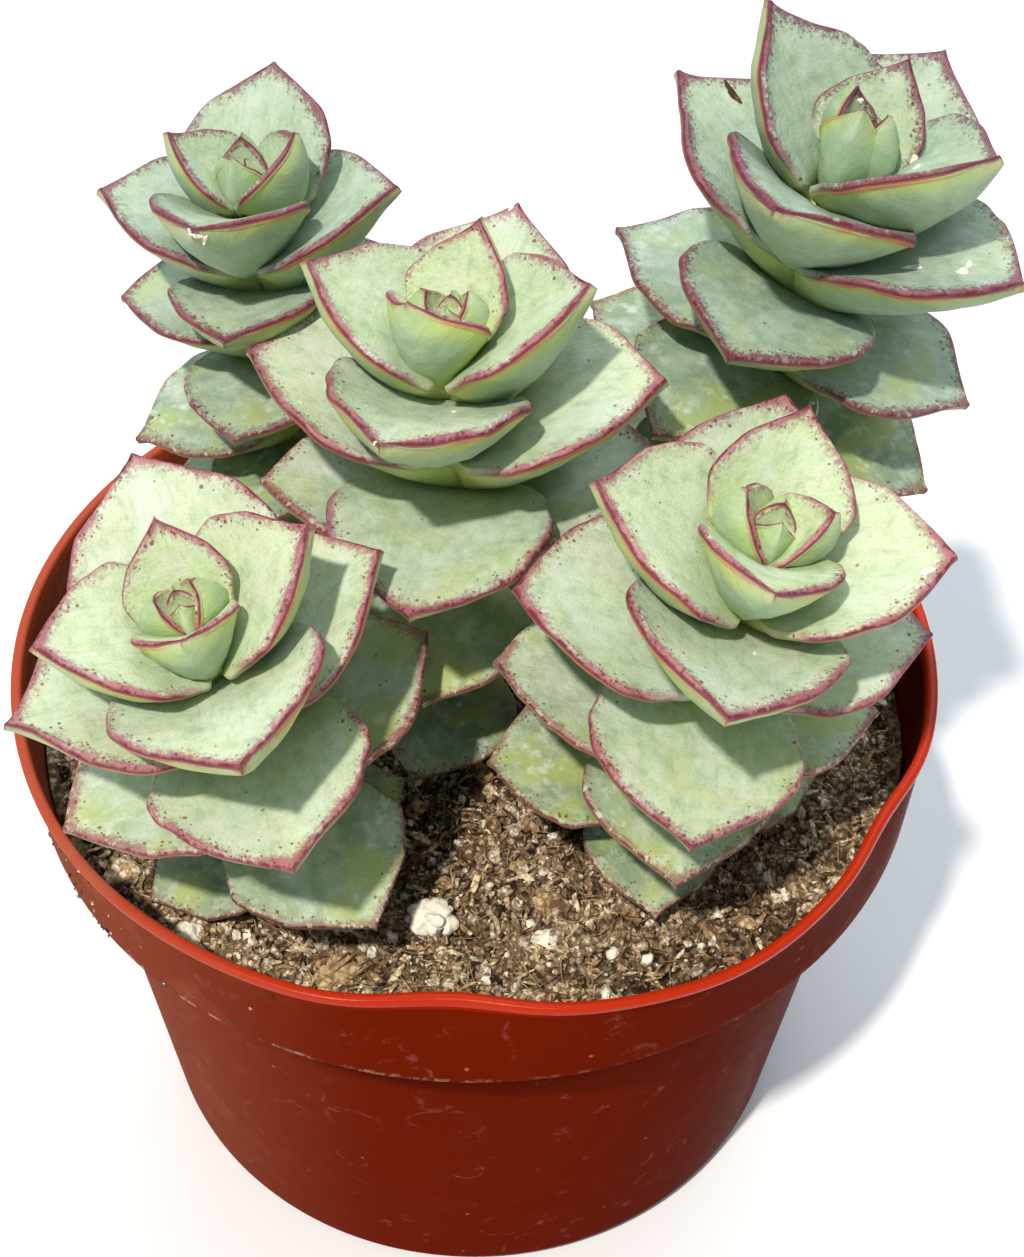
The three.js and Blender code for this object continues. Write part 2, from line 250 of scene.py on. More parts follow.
# White flecks and a brown scar on the leaves: pixel of the photograph, length and width in
# millimetres, and turn.
# The small flecks at pixels (860, 101) and (812, 403) are painted glints of water drops.
WHITE_FLECKS_AND_GLINTS = [
    ((913, 267), 2.2, 1.1, 10), ((963, 271), 1.7, 1.0, 60), ((969, 264), 1.2, 0.6, 80),
    ((914, 159), 1.0, 0.7, 80), ((917, 167), 1.1, 0.5, 60), ((860, 101), 0.8, 0.6, 0),
    ((908, 587), 0.9, 0.6, 30), ((927, 571), 1.4, 0.8, 20), ((812, 403), 0.6, 0.5, 0),
    ((755, 653), 0.7, 0.4, 70), ((375, 443), 0.5, 0.3, 20), ((454, 412), 0.5, 0.3, 0),
    ((475, 219), 0.7, 0.4, 40), ((511, 207), 0.9, 0.5, 70), ((300, 402), 0.5, 0.3, 0),
    ((196, 236), 1.6, 0.4, 20), ((205, 240), 1.2, 0.4, -30), ((190, 231), 0.7, 0.4, 60),
]
SCARS = [((728, 86), 1.6, 0.6, -60), ((734, 95), 2.2, 0.9, -50)]

# How finely a leaf is meshed, and how many points its outline has when distances are measured
RINGS = 44
UPPER_POINTS = 19
LOWER_POINTS = 13
ROUND_POINTS = 7
OUTLINE_SAMPLES = 140

# A leaf's skin colour: how much it differs from its tower's, the pairs from the top down to
# fully old ones, and the moves that give each leaf, side and tower other noise
TONE_SPREAD = 0.15
PAIRS_TO_OLD = 8
LEAF_NOISE_MOVE = 37.0
TOWER_NOISE_MOVE = 411.0
OPPOSITE_NOISE_MOVE = 50.0
UNDERSIDE_NOISE_MOVE = 20


def smooth(low, high, value):
    part = np.clip((value - low) / (high - low), 0, 1)
    return part * part * (3 - 2 * part)


def unit(vectors):
    """The vectors, each at length 1."""
    return vectors / np.linalg.norm(vectors, axis=-1, keepdims=True)


def circle_angles(count):
    return np.linspace(0, TURN, count, endpoint=False)


def around(radius, angles, height):
    """Points at a distance from the upright axis, at the angles in radians and at a height."""
    parts = np.broadcast_arrays(radius * np.cos(angles), radius * np.sin(angles), height)
    return np.stack(parts, axis=-1)


def turned(points, degrees):
    """The points, turned about the upright axis."""
    cosine, sine = math.cos(math.radians(degrees)), math.sin(math.radians(degrees))
    return points @ np.array([(cosine, sine, 0), (-sine, cosine, 0), (0, 0, 1)])


def node_box(node):
    """The node's lowest and highest corners in millimetres."""
    return [np.array(corner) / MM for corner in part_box(node)]


def curve_through(stops, values, at):
    """A smooth curve through points that never overshoots them."""
    stops, values = np.asarray(stops, float), np.asarray(values, float)
    steps, rises = np.diff(stops), np.diff(values)
    slopes = rises / steps
    tangents = np.concatenate([slopes[:1], np.zeros(len(stops) - 2), slopes[-1:]])
    for i in range(1, len(stops) - 1):
        if slopes[i - 1] * slopes[i] > 0:
            tangents[i] = 2 * slopes[i - 1] * slopes[i] / (slopes[i - 1] + slopes[i])
    i = np.clip(np.searchsorted(stops, at) - 1, 0, len(stops) - 2)
    s = (at - stops[i]) / steps[i]
    ease = 3 * s**2 - 2 * s**3
    return (
        values[i] + ease * rises[i]
        + (s**3 - 2 * s**2 + s) * steps[i] * tangents[i]
        + (s**3 - s**2) * steps[i] * tangents[i + 1]
    )


def tube_faces(rings, count, flipped=False):
    """Quads between rings of points, each ring with the same count of them."""
    near = np.arange((rings - 1) * count).reshape(-1, count)
    following = np.roll(near, -1, axis=1)
    corners = [near, following, following + count, near + count]
    if not flipped:
        corners = [near, near + count, following + count, following]
    return np.stack(corners, axis=-1).reshape(-1, 4)


def skin_faces(rings, count, flipped=False):
    """Quads between rings, and triangles that close both ends to the two points after them."""
    faces = tube_faces(rings, count, flipped).tolist()
    last = (rings - 1) * count
    for j in range(count):
        following = (j + 1) % count
        ends = [(rings * count, j, following), (last + j, rings * count + 1, last + following)]
        faces += [end[::-1] for end in ends] if flipped else ends
    return faces


def mesh_object(name, points, faces, material, floats=None, vectors=None, smooth_shaded=True):
    """A piece from points in millimetres, with a value or a vector kept at each point."""
    mesh = bpy.data.meshes.new(name)
    mesh.from_pydata((np.asarray(points) * MM).tolist(), [], faces)
    for key, values in (floats or {}).items():
        layer = mesh.attributes.new(key, "FLOAT", "POINT")
        layer.data.foreach_set("value", np.asarray(values, np.float32).ravel())
    for key, values in (vectors or {}).items():
        layer = mesh.attributes.new(key, "FLOAT_VECTOR", "POINT")
        layer.data.foreach_set("vector", np.asarray(values, np.float32).ravel())
    mesh.polygons.foreach_set("use_smooth", [smooth_shaded] * len(mesh.polygons))
    mesh.update()
    mesh.materials.append(material)
    piece = bpy.data.objects.new(name, mesh)
    bpy.context.scene.collection.objects.link(piece)
    return piece


def screen_colour(code):
    """A linear colour from the code, such as #a3b7a2, of the colour that a screen shows."""
    parts = np.array([int(code[i:i + 2], 16) for i in (1, 3, 5)]) / 255
    return (*np.where(parts <= 0.04045, parts / 12.92, ((parts + 0.055) / 1.055) ** 2.4), 1.0)


class Look:
    """A node material, built with short calls that return sockets."""

    def __init__(self, name):
        self.material = bpy.data.materials.new(name)
        self.material.use_nodes = True
        self.tree = self.material.node_tree
        self.tree.nodes.clear()
        output = self.tree.nodes.new("ShaderNodeOutputMaterial")
        self.shader = self.tree.nodes.new("ShaderNodeBsdfPrincipled")
        self.tree.links.new(self.shader.outputs["BSDF"], output.inputs["Surface"])

    def put(self, socket, value):
        """Links or sets a socket. A colour may be a screen code."""
        if isinstance(value, bpy.types.NodeSocket):
            self.tree.links.new(value, socket)
        else:
            socket.default_value = screen_colour(value) if isinstance(value, str) else value

    def node(self, kind, outlet=0, **inputs):
        node = self.tree.nodes.new("ShaderNode" + kind)
        for key, value in inputs.items():
            self.put(node.inputs[key], value)
        return node.outputs[outlet]

    def attribute(self, name, outlet="Fac"):
        node = self.tree.nodes.new("ShaderNodeAttribute")
        node.attribute_name = name
        return node.outputs[outlet]

    def object_place(self):
        return self.tree.nodes.new("ShaderNodeTexCoord").outputs["Object"]

    def math(self, operation, *values, clamp=False):
        node = self.tree.nodes.new("ShaderNodeMath")
        node.operation = operation
        node.use_clamp = clamp
        for socket, value in zip(node.inputs, values):
            self.put(socket, value)
        return node.outputs[0]

    def product(self, value, *others):
        for other in others:
            value = self.math("MULTIPLY", value, other)
        return value

    def linear(self, value, slope, start):
        """The value times the slope, plus the start."""
        return self.math("MULTIPLY_ADD", value, slope, start)

    def step(self, value, low, high, result_low=0.0, result_high=1.0):
        """Eases from one result to the other as the value goes from low to high."""
        node = self.tree.nodes.new("ShaderNodeMapRange")
        node.interpolation_type = "SMOOTHSTEP"
        for socket, number in zip(node.inputs, (value, low, high, result_low, result_high)):
            self.put(socket, number)
        return node.outputs[0]

    def near(self, value, middle, close, far):
        """1 where the value is close to the middle, easing to 0 where it is far from it."""
        distance = self.math("ABSOLUTE", self.math("SUBTRACT", value, middle))
        return self.step(distance, close, far, 1.0, 0.0)

    def mix(self, factor, first, second, blend="MIX"):
        node = self.tree.nodes.new("ShaderNodeMix")
        node.data_type = "RGBA"
        node.blend_type = blend
        self.put(node.inputs[0], factor)
        self.put(node.inputs[6], first)
        self.put(node.inputs[7], second)
        return node.outputs[2]

    def layers(self, base, *covers):
        """Lays colours over the base one by one, each by its own share from 0 to 1."""
        for share, cover in covers:
            base = self.mix(share, base, cover)
        return base

    def stretched(self, vector, scale, move=(0, 0, 0)):
        return self.node("Mapping", Vector=vector, Scale=scale, Location=move)

    def noise(self, vector, size, detail=3.0, roughness=0.55, outlet=0):
        """Noise from 0 to 1 whose lumps are about one size across, in the vector's units."""
        return self.node(
            "TexNoise", outlet, Vector=vector, Scale=1 / size, Detail=detail, Roughness=roughness
        )

    def cells(self, vector, size):
        """The distance from the middle of the nearest cell, and the cell's random colour."""
        distance = self.node("TexVoronoi", "Distance", Vector=vector, Scale=1 / size)
        return distance, distance.node.outputs["Color"]

    def bump(self, height, distance, strength=1.0):
        return self.node("Bump", Height=height, Distance=distance, Strength=strength)

    def finish(self, **inputs):
        for key, value in inputs.items():
            self.put(self.shader.inputs[key.replace("_", " ")], value)
        return self.material


# Materials of the plant

def leaf_look():
    """Waxy grey-green skin. edge is the distance in mm from the margin's crest, above 0 on the
    upper side and below 0 underneath, and leaf_place is the place on the flattened leaf in mm."""
    look = Look("waxy_leaf")
    mix, step, noise, product, linear = look.mix, look.step, look.noise, look.product, look.linear
    edge, along, age, tone = (look.attribute(key) for key in ("edge", "along", "age", "tone"))
    scale = look.attribute("leaf_scale")
    place = look.attribute("leaf_place", "Vector")

    clouds = noise(place, 7.0, 2.0)
    mottle = noise(place, 1.7, 3.0, 0.7)
    grain = noise(place, 0.3, 2.0, 0.7)
    streaks = noise(look.stretched(place, (0.3, 1.7, 1.0)), 1.1, 2.0, 0.65)
    youth = step(age, 0.02, 0.4, 1.0, 0.0)
    glow_reach = linear(product(youth, tone), 0.28, 0.32)
    base_glow = step(along, glow_reach, 0.03, 0.0, 0.75)

    # Upper side: jade, yellower in the young leaves and towards the tip, and duller in old
    # ones, which carry yellow-green blotches and patches of pale bloom
    tip_glow = product(step(along, 0.4, 0.95), step(clouds, 0.35, 0.62), 0.55)
    patches = product(step(clouds, 0.5, 0.64), step(age, 0.45, 0.85), 0.75)
    bloom = noise(look.stretched(place, (1, 1, 1), (31, 17, 5)), 2.4, 2.0, 0.7)
    bloom = product(step(bloom, 0.56, 0.74), step(age, 0.3, 0.9, 0.14, 1.0), 0.6)
    upper = look.layers(
        mix(tone, "#a3b7a2", "#bcc6a8"),
        (youth, mix(tone, "#b8ca9e", "#bfce9a")),
        (step(age, 0.45, 1.0, 0.0, 0.6), "#869c7c"),
        (step(age, 0.78, 1.0, 0.0, 0.8), "#70865e"),
        (tip_glow, "#c6d0a0"),
        (step(mottle, 0.42, 0.7, 0.0, 0.5), "#cad6c2"),
        (step(mottle, 0.5, 0.28, 0.0, 0.45), "#84a282"),
        (step(streaks, 0.52, 0.74, 0.0, 0.34), "#86a286"),
        (step(grain, 0.54, 0.74, 0.0, 0.35), "#889e76"),
        (step(clouds, 0.46, 0.3, 0.0, 0.4), "#ced8ca"),
        (base_glow, "#c4d076"),
        (patches, "#a6b468"),
        (bloom, "#d4ded0"),
    )

    # Underside: a pale belly that turns yellow-green close to the margin
    depth = product(edge, -1.0)
    yellow = mix(step(age, 0.15, 0.8), "#bac968", "#b2b242")
    yellowing = product(
        step(look.math("DIVIDE", depth, scale), 0.3, linear(tone, 1.3, 2.3), 0.95, 0.0),
        step(along, 0.7, 0.95, 1.0, 0.35),
        step(age, 0.0, 0.16, 0.5, 1.0),
    )
    lower = look.layers(
        mix(step(mottle, 0.3, 0.7), "#98b088", "#acc09c"),
        (step(age, 0.4, 1.0, 0.0, 0.7), "#788e64"),
        (yellowing, yellow),
        (base_glow, "#c4d278"),
    )

    # The margin: a dusty rose band over the crest, a dark crimson line along it, an orange
    # fringe below, and above it a purple flush that breaks up into specks
    broad = linear(noise(place, 4.2, 1.0), 1.5, -0.75)
    ragged = noise(place, 0.7, 3.0, 0.7)
    shift = product(look.math("ADD", broad, linear(ragged, 1.1, -0.55)), scale)
    part = look.math("DIVIDE", look.math("ADD", edge, shift), scale)
    depth_part = look.math("DIVIDE", linear(shift, -0.5, depth), scale)
    strength = step(linear(broad, 0.15, along), 0.14, 0.5)
    tip_part = step(along, 0.84, 1.0)
    old = step(age, 0.6, 0.95)

    fine = noise(place, 0.42, 3.0, 0.75)
    slope = linear(tip_part, -0.08, linear(age, 0.07, linear(tone, 0.03, 0.15)))
    flush = product(
        step(linear(part, product(slope, -1.0), fine), 0.17, 0.46),
        step(depth_part, 0.0, 0.35, 1.0, 0.0),
        strength,
        linear(tone, -0.16, 0.84),
    )
    flush_colour = mix(tone, "#6c3248", "#964a5c")
    flush_colour = mix(old, flush_colour, "#806450")

    fringe = product(
        step(depth_part, -0.14, 0.1),
        step(depth_part, 0.26, 0.9, 1.0, 0.0),
        strength,
        step(noise(place, 2.6, 1.0), 0.35, 0.6, 0.4, 1.0),
        step(along, 0.72, 0.94, 1.0, 0.2),
        step(age, 0.0, 0.2, 0.5, 1.0),
    )
    orange = mix(step(age, 0.1, 0.7), "#d48054", "#c0542c")

    band = product(
        step(part, linear(tip_part, 0.5, 0.95), 0.35),
        step(linear(tip_part, -0.3, depth_part), -0.16, 0.12, 1.0, 0.0),
        strength,
        linear(old, -0.4, 0.76),
    )
    dark_rose = mix(tone, "#622036", "#70223a")
    pale_rose = mix(tone, "#964a5c", "#ac5a68")
    worn = mix(fine, "#703e32", "#98604e")
    rose = mix(product(old, 0.8), mix(step(fine, 0.34, 0.6), dark_rose, pale_rose), worn)

    crest = product(
        look.near(
            look.math("DIVIDE", edge, scale), linear(noise(place, 1.8, 2.0), 0.6, -0.12), 0.06, 0.27
        ),
        step(noise(place, 0.9, 2.0, 0.7), 0.36, 0.56, 0.3, 1.0),
        strength,
        0.92,
    )
    crimson = mix(old, "#680c24", "#702c22")

    # Small dark red dots crowd in groups near the margin, and grey-green ones lie further in
    groups = step(noise(place, 3.1, 1.0), 0.36, 0.62, 0.35, 1.0)
    dots = 0.0
    for size, near, share, far_share in ((0.44, 2.4, 0.95, 0.0), (0.7, 3.0, 0.72, 0.012)):
        moved = look.stretched(place, (1, 1, 1), (size * 50, 3, 7))
        distance, chance = look.cells(moved, size)
        random = look.node("SeparateColor", 0, Color=chance)
        spread = product(step(part, 0.2, near, share, 0.0), groups)
        spread = linear(spread, step(along, 0.12, 0.6), far_share)
        wide = linear(random.node.outputs[1], 0.22, 0.2)
        dot = product(
            step(distance, product(wide, 0.5), wide, 1.0, 0.0),
            look.math("LESS_THAN", random, spread),
            step(edge, 0.05, 0.35),
        )
        dots = look.math("MAXIMUM", dots, dot)
    dot_colour = mix(step(edge, 1.8, 3.2), "#641c2e", "#6c7a58")

    # Dry corky flecks on the margins of old leaves
    cork = product(
        step(ragged, 0.54, 0.62), step(age, 0.45, 0.9), look.near(edge, 0.0, 0.35, 1.0), 0.8
    )

    skin = look.layers(
        mix(step(edge, -0.25, 0.15), lower, upper),
        (flush, flush_colour),
        (fringe, orange),
        (band, rose),
        (crest, crimson),
        (product(dots, 0.8), dot_colour),
        (cork, "#c8beae"),
    )
    skin = mix(1.0, skin, mix(tone, (0.8, 0.82, 0.84, 1), (1, 1, 1, 1)), "MULTIPLY")
    return look.finish(
        Base_Color=skin,
        Roughness=linear(mottle, 0.25, 0.4),
        Specular_IOR_Level=0.42,
        Normal=look.bump(linear(mottle, 0.6, product(grain, 0.15)), 0.0004, 0.7),
    )


def stem_look():
    look = Look("green_stem")
    place = look.object_place()
    clouds = look.noise(place, 0.003, 4.0)
    tone = look.mix(look.step(clouds, 0.35, 0.65), "#767a4a", "#968860")
    return look.finish(Base_Color=tone, Roughness=0.7, Normal=look.bump(clouds, 0.0006, 0.6))


def pot_look(name, gloss):
    """Orange-red moulded plastic with dust, water marks and fine scratches, and with painted light
    and shade in its colour.
    """
    look = Look(name)
    step, noise, product = look.step, look.noise, look.product
    place = look.object_place()
    east = look.node("SeparateXYZ", 0, Vector=place)
    height = east.node.outputs[2]

    # The body, darker towards the right with painted shade, and the lip in a brighter red: the two
    # reds are one plastic, with painted shade on the body and painted light on the lip
    body = look.layers(
        "#681702",
        (noise(place, 0.03, 2.0), "#5c1302"),
        (step(east, 0.008, 0.036, 0.0, 0.5), "#4a1306"),
        (step(height, 0.068, 0.0688), "#ac2605"),
    )

    # Water marks left by drops and puddles, stains, specks, and on the left a film of dust that also
    # carries a painted sheen of reflected light
    warp = noise(place, 0.01, 2.0, 0.5, "Color")
    rings, _ = look.cells(look.mix(0.007, place, warp), 0.0095)
    rings = product(
        look.near(rings, 0.42, 0.0, 0.05), step(noise(place, 0.011, 3.0, 0.6), 0.53, 0.63), 0.22
    )
    drops, _ = look.cells(look.mix(0.004, place, warp), 0.0052)
    drops = product(
        look.near(drops, 0.34, 0.0, 0.05), step(noise(place, 0.008, 3.0, 0.6), 0.55, 0.63)
    )
    stains = product(
        step(noise(place, 0.0048, 7.0, 0.78), 0.57, 0.68), step(noise(place, 0.017, 2.0), 0.42, 0.6)
    )
    specks, chance = look.cells(place, 0.0042)
    chosen = look.math("LESS_THAN", look.node("SeparateColor", 0, Color=chance), 0.3)
    specks = product(step(specks, 0.035, 0.075, 1.0, 0.0), chosen, 0.8)
    haze = step(noise(place, 0.014, 6.0, 0.72), 0.5, 0.72)
    # Dust and painted sheen on the left side
    left_dust_and_sheen = product(look.linear(haze, 0.5, 0.5), step(east, -0.008, -0.046, 0.02, 0.95))
    marks = look.linear(stains, 0.46, look.linear(drops, 0.36, rings))
    marks = product(marks, step(noise(place, 0.0013, 4.0, 0.75), 0.42, 0.6))
    marks = look.math("ADD", marks, specks, clamp=True)
    marks = product(marks, step(height, 0.0685, 0.068))

    # Painted shadow in the corner under the band, and a pale line of dirt along the band's lower edge
    band_shadow = step(height, 0.054, 0.045, 0.9, 0.0)
    band_shadow = product(band_shadow, look.math("LESS_THAN", height, 0.0569))
    crust = product(
        look.near(height, 0.0574, 0.0002, 0.0006),
        step(noise(place, 0.002, 4.0, 0.7), 0.5, 0.62),
        step(east, 0.02, -0.03, 0.2, 1.0),
        0.7,
    )

    # The marks and the left film of dust and painted sheen, which roughen the surface
    dust_and_sheen = look.math("MAXIMUM", marks, left_dust_and_sheen)
    roughness = look.linear(noise(place, 0.004, 4.0), 0.12, 0.2)
    fine = noise(look.stretched(place, (1, 1, 4)), 0.0016, 3.0)
    waves = look.linear(fine, 0.12, noise(place, 0.012, 2.0))
    return look.finish(
        Base_Color=look.layers(
            body,
            (left_dust_and_sheen, "#9c5a40"),
            (marks, "#a06058"),
            (band_shadow, "#300a03"),
            (crust, "#b28c70"),
        ),
        Roughness=look.linear(dust_and_sheen, 0.5, roughness),
        Specular_IOR_Level=gloss,
        Normal=look.bump(waves, 0.0009, 0.35),
    )


def soil_look(name, dark, mid, light, grain_size):
    """Dry peat, bark or straw, whose attribute tone is a random number for each crumb, which on the
    bed and on the crumbs also carries painted shade, darker in the hollows.
    """
    look = Look(name)
    place = look.object_place()
    grain = look.noise(place, grain_size, 5.0, 0.7)
    distance, chance = look.cells(place, grain_size)
    random = look.node("SeparateColor", 0, Color=chance)
    random = look.math("SUBTRACT", random, 0.5)
    tone = look.linear(random, 0.7, look.attribute("tone"))
    shade = look.layers(
        look.mix(look.step(tone, 0.0, 0.6), dark, mid),
        (look.step(tone, 0.6, 1.0), light),
        (look.step(grain, 0.4, 0.7, 0.0, 0.55), dark),
        # Painted shade: darker towards the edges of the grain cells, in the gaps between grains
        (look.step(distance, 0.45, 0.75, 0.0, 0.6), dark),
    )
    return look.finish(
        Base_Color=shade,
        Roughness=0.92,
        Specular_IOR_Level=0.2,
        Normal=look.bump(grain, grain_size * 0.5, 0.9),
    )


def perlite_look():
    look = Look("perlite_glass")
    place = look.object_place()
    pits, _ = look.cells(place, 0.0009)
    cloud = look.noise(place, 0.0022, 4.0, 0.7)
    shade = look.mix(look.step(cloud, 0.35, 0.7), "#f6f1e2", "#e8dec8")
    return look.finish(
        Base_Color=look.mix(look.step(pits, 0.5, 0.8, 0.0, 0.3), shade, "#968464"),
        Roughness=0.85,
        Specular_IOR_Level=0.3,
        Normal=look.bump(pits, 0.0005, 0.7),
    )


# Plant

def axis_points(tower, parts):
    start = np.array([*tower["base"], SOIL_LEVEL], float)
    end = np.array(tower["top"], float)
    middle = (start + end) / 2 + np.array([*tower["bow"], 0])
    part = np.asarray(parts, float)[:, None]
    return start * (1 - part) ** 2 + middle * 2 * part * (1 - part) + end * part**2


def axis_part(tower, height):
    return (height - SOIL_LEVEL) / (tower["top"][2] - SOIL_LEVEL)


def leaf_axes(tower, height, bearing):
    """The leaf's origin on the stem, and its directions outwards, sideways and along the stem."""
    part = axis_part(tower, height)
    before, centre, after = axis_points(tower, [part - 0.01, part, part + 0.01])
    along = unit(after - before)
    east = unit(np.array([1.0, 0, 0]) - along * along[0])
    angle = math.radians(bearing)
    out = east * math.cos(angle) + np.cross(along, east) * math.sin(angle)
    return centre, np.array([out, np.cross(along, out), along])


def leaf_rings(length, rise, fill, shape):
    """Rings of points from stem to tip on the leaf's own axes, each point with its distance
    from the margin and its place on the flattened leaf."""
    rise_angle = math.radians(rise)
    curl = math.radians(min(70, -14 + 0.0154 * rise * rise))
    cup = 0.13 + 0.01 * rise
    narrowing = 1.02 - 0.2 * (rise / 75) ** 2
    half_width = LEAF_HALF_WIDTH * length * narrowing
    thickness = LEAST_THICKNESS + (1 - LEAST_THICKNESS) * length / FULL_LEAF

    t = 1 - (1 - np.linspace(0, 1, RINGS)) ** 1.35
    tip = length * np.array([math.cos(rise_angle), math.sin(rise_angle)])
    sag = length * math.tan(curl / 4)
    bend = sag * np.array([math.sin(rise_angle), -math.cos(rise_angle)]) + tip / 2
    part = t[:, None]
    rib = 2 * part * (1 - part) * bend + part**2 * tip
    tangent = unit(2 * (1 - part) * bend + 2 * part * (tip - bend))
    straight = smooth(0, 0.22, t)[:, None]
    tangent = unit(tangent * straight + np.array([1, 0]) * (1 - straight))
    run = np.concatenate([[0], np.cumsum(np.linalg.norm(np.diff(rib, axis=0), axis=1))])

    ripple = np.sin(run * shape["ripple_pace"] + shape["phase"])
    ripple = ripple + 0.5 * np.sin(run * shape["ripple_pace"] * 2.7 + 2 * shape["phase"])
    ripple = 1 + shape["ripple"] * ripple * smooth(0.1, 0.4, t)
    pointed = curve_through(OUTLINE_STOPS, POINTED_OUTLINE, t) * shape["point"]
    rounded_off = curve_through(OUTLINE_STOPS, ROUND_OUTLINE, t) * (1 - shape["point"])
    half = half_width * (pointed + rounded_off) * ripple
    margin = MARGIN_THICKNESS * thickness * (1 - 0.6 * smooth(0.84, 1, t))
    depth = curve_through(LEAF_STOPS, LEAF_DEPTHS, t) * thickness - margin
    depth = depth + np.maximum(fill - depth[0], 0) * (1 - smooth(0.0, 0.62, t))
    depth = np.maximum(depth, 0.05)
    lifted = cup * (1 - 0.5 * t**1.5) * half
    bulge = np.minimum(0.42 * margin, 0.5 * half)
    flat = half - bulge
    middle_lift = FULLNESS * lifted * smooth(0, 0.25, t)

    def height_at(y, middle=0.0):
        side = np.abs(y / half[:, None]) ** (1.8 - 0.005 * rise)
        return middle * (1 - side) + lifted[:, None] * side

    upper_side = np.sin(np.linspace(-math.pi / 2, math.pi / 2, UPPER_POINTS))
    lower_side = np.sin(np.linspace(math.pi / 2, -math.pi / 2, LOWER_POINTS))
    turn = np.linspace(math.pi / 2, -math.pi / 2, ROUND_POINTS + 2)[1:-1]
    y_upper = flat[:, None] * upper_side
    y_lower = flat[:, None] * lower_side
    z_upper = height_at(y_upper, middle_lift[:, None])
    belly = margin[:, None] + depth[:, None] * (1 - np.abs(lower_side) ** 2.2)
    z_lower = height_at(y_lower) - belly
    y_round = flat[:, None] + bulge[:, None] * np.cos(turn)
    z_edge = height_at(flat[:, None])
    z_round = z_edge + margin[:, None] / 2 * (np.sin(turn) - 1)

    y = np.concatenate([y_upper, y_round, y_lower, -y_round[:, ::-1]], axis=1)
    z = np.concatenate([z_upper, z_round, z_lower, z_round[:, ::-1]], axis=1)

    # Distance from the outline, on the flattened leaf
    fine = np.linspace(0, 1, OUTLINE_SAMPLES)
    fine_run = np.interp(fine, t, run)
    fine_half = np.interp(fine, t, half)

    def reach(points):
        across = np.abs(points)[..., None] - fine_half
        lengthways = run[:, None, None] - fine_run
        return np.sqrt(across**2 + lengthways**2).min(axis=-1)

    middle = margin[:, None] / 2
    edge = np.concatenate(
        [
            reach(y_upper) + middle * 0.6,
            middle * np.sin(turn) * np.ones_like(y_round),
            -(reach(y_lower) + middle * 0.6),
            middle * np.sin(turn[::-1]) * np.ones_like(y_round),
        ],
        axis=1,
    )

    # The margin waves up and down, the surface is a little uneven, and the tip turns aside
    side_part = np.clip(np.abs(y) / np.maximum(half[:, None], 1e-6), 0, 1)
    wave_place = run[:, None] * shape["wave_pace"] + shape["phase"] + (y > 0) * 2.1
    wave = np.sin(wave_place) + 0.45 * np.sin(wave_place * 2.3 + 1)
    z = z + shape["wave"] * wave * side_part**3 * smooth(0.1, 0.5, t)[:, None]
    dents = np.sin(0.62 * run[:, None] + 0.5 * y + shape["phase"])
    dents = dents * np.cos(0.74 * y - shape["phase"])
    z = z + shape["dent"] * dents * smooth(0.1, 0.4, t)[:, None] * (1 - side_part**2)
    z = z - shape["hook"] * (smooth(0.72, 1, t) ** 2)[:, None]
    y = y + shape["aside"] * (t**3)[:, None]

    outward = rib[:, :1] - tangent[:, 1:] * z
    upward = rib[:, 1:] + tangent[:, :1] * z
    points = np.stack([outward, y, upward], axis=-1)
    full = np.ones_like(y)
    flat_place = np.stack([run[:, None] * full, y, np.sign(edge) * UNDERSIDE_NOISE_MOVE], axis=-1)
    return points, edge, t[:, None] * full, flat_place


def leaf_shape(generator, age, length):
    """How one leaf differs from the plain form."""
    draw = generator.uniform
    size = length / FULL_LEAF
    return {
        "point": draw(0.5, 1.0),
        "ripple": draw(0.006, 0.016) * (1 + 0.5 * age),
        "ripple_pace": draw(0.5, 0.9),
        "wave": draw(0.12, 0.32) * size * (0.8 + 0.5 * age),
        "wave_pace": draw(0.35, 0.6),
        "dent": draw(0.12, 0.24) * size * (0.7 + 0.5 * age),
        "hook": draw(-0.1, 0.5) * size,
        "aside": draw(-0.5, 0.5) * size,
        "phase": draw(0, 6.28),
    }


def bud_pair(tower):
    """The least pair, folded inside the topmost one."""
    height, bearing, length, *_ = tower["pairs"][0]
    return height + BUD_RISE, bearing + BUD_TURN, length * BUD_SHARE, BUD_STEEPNESS, 4, 1


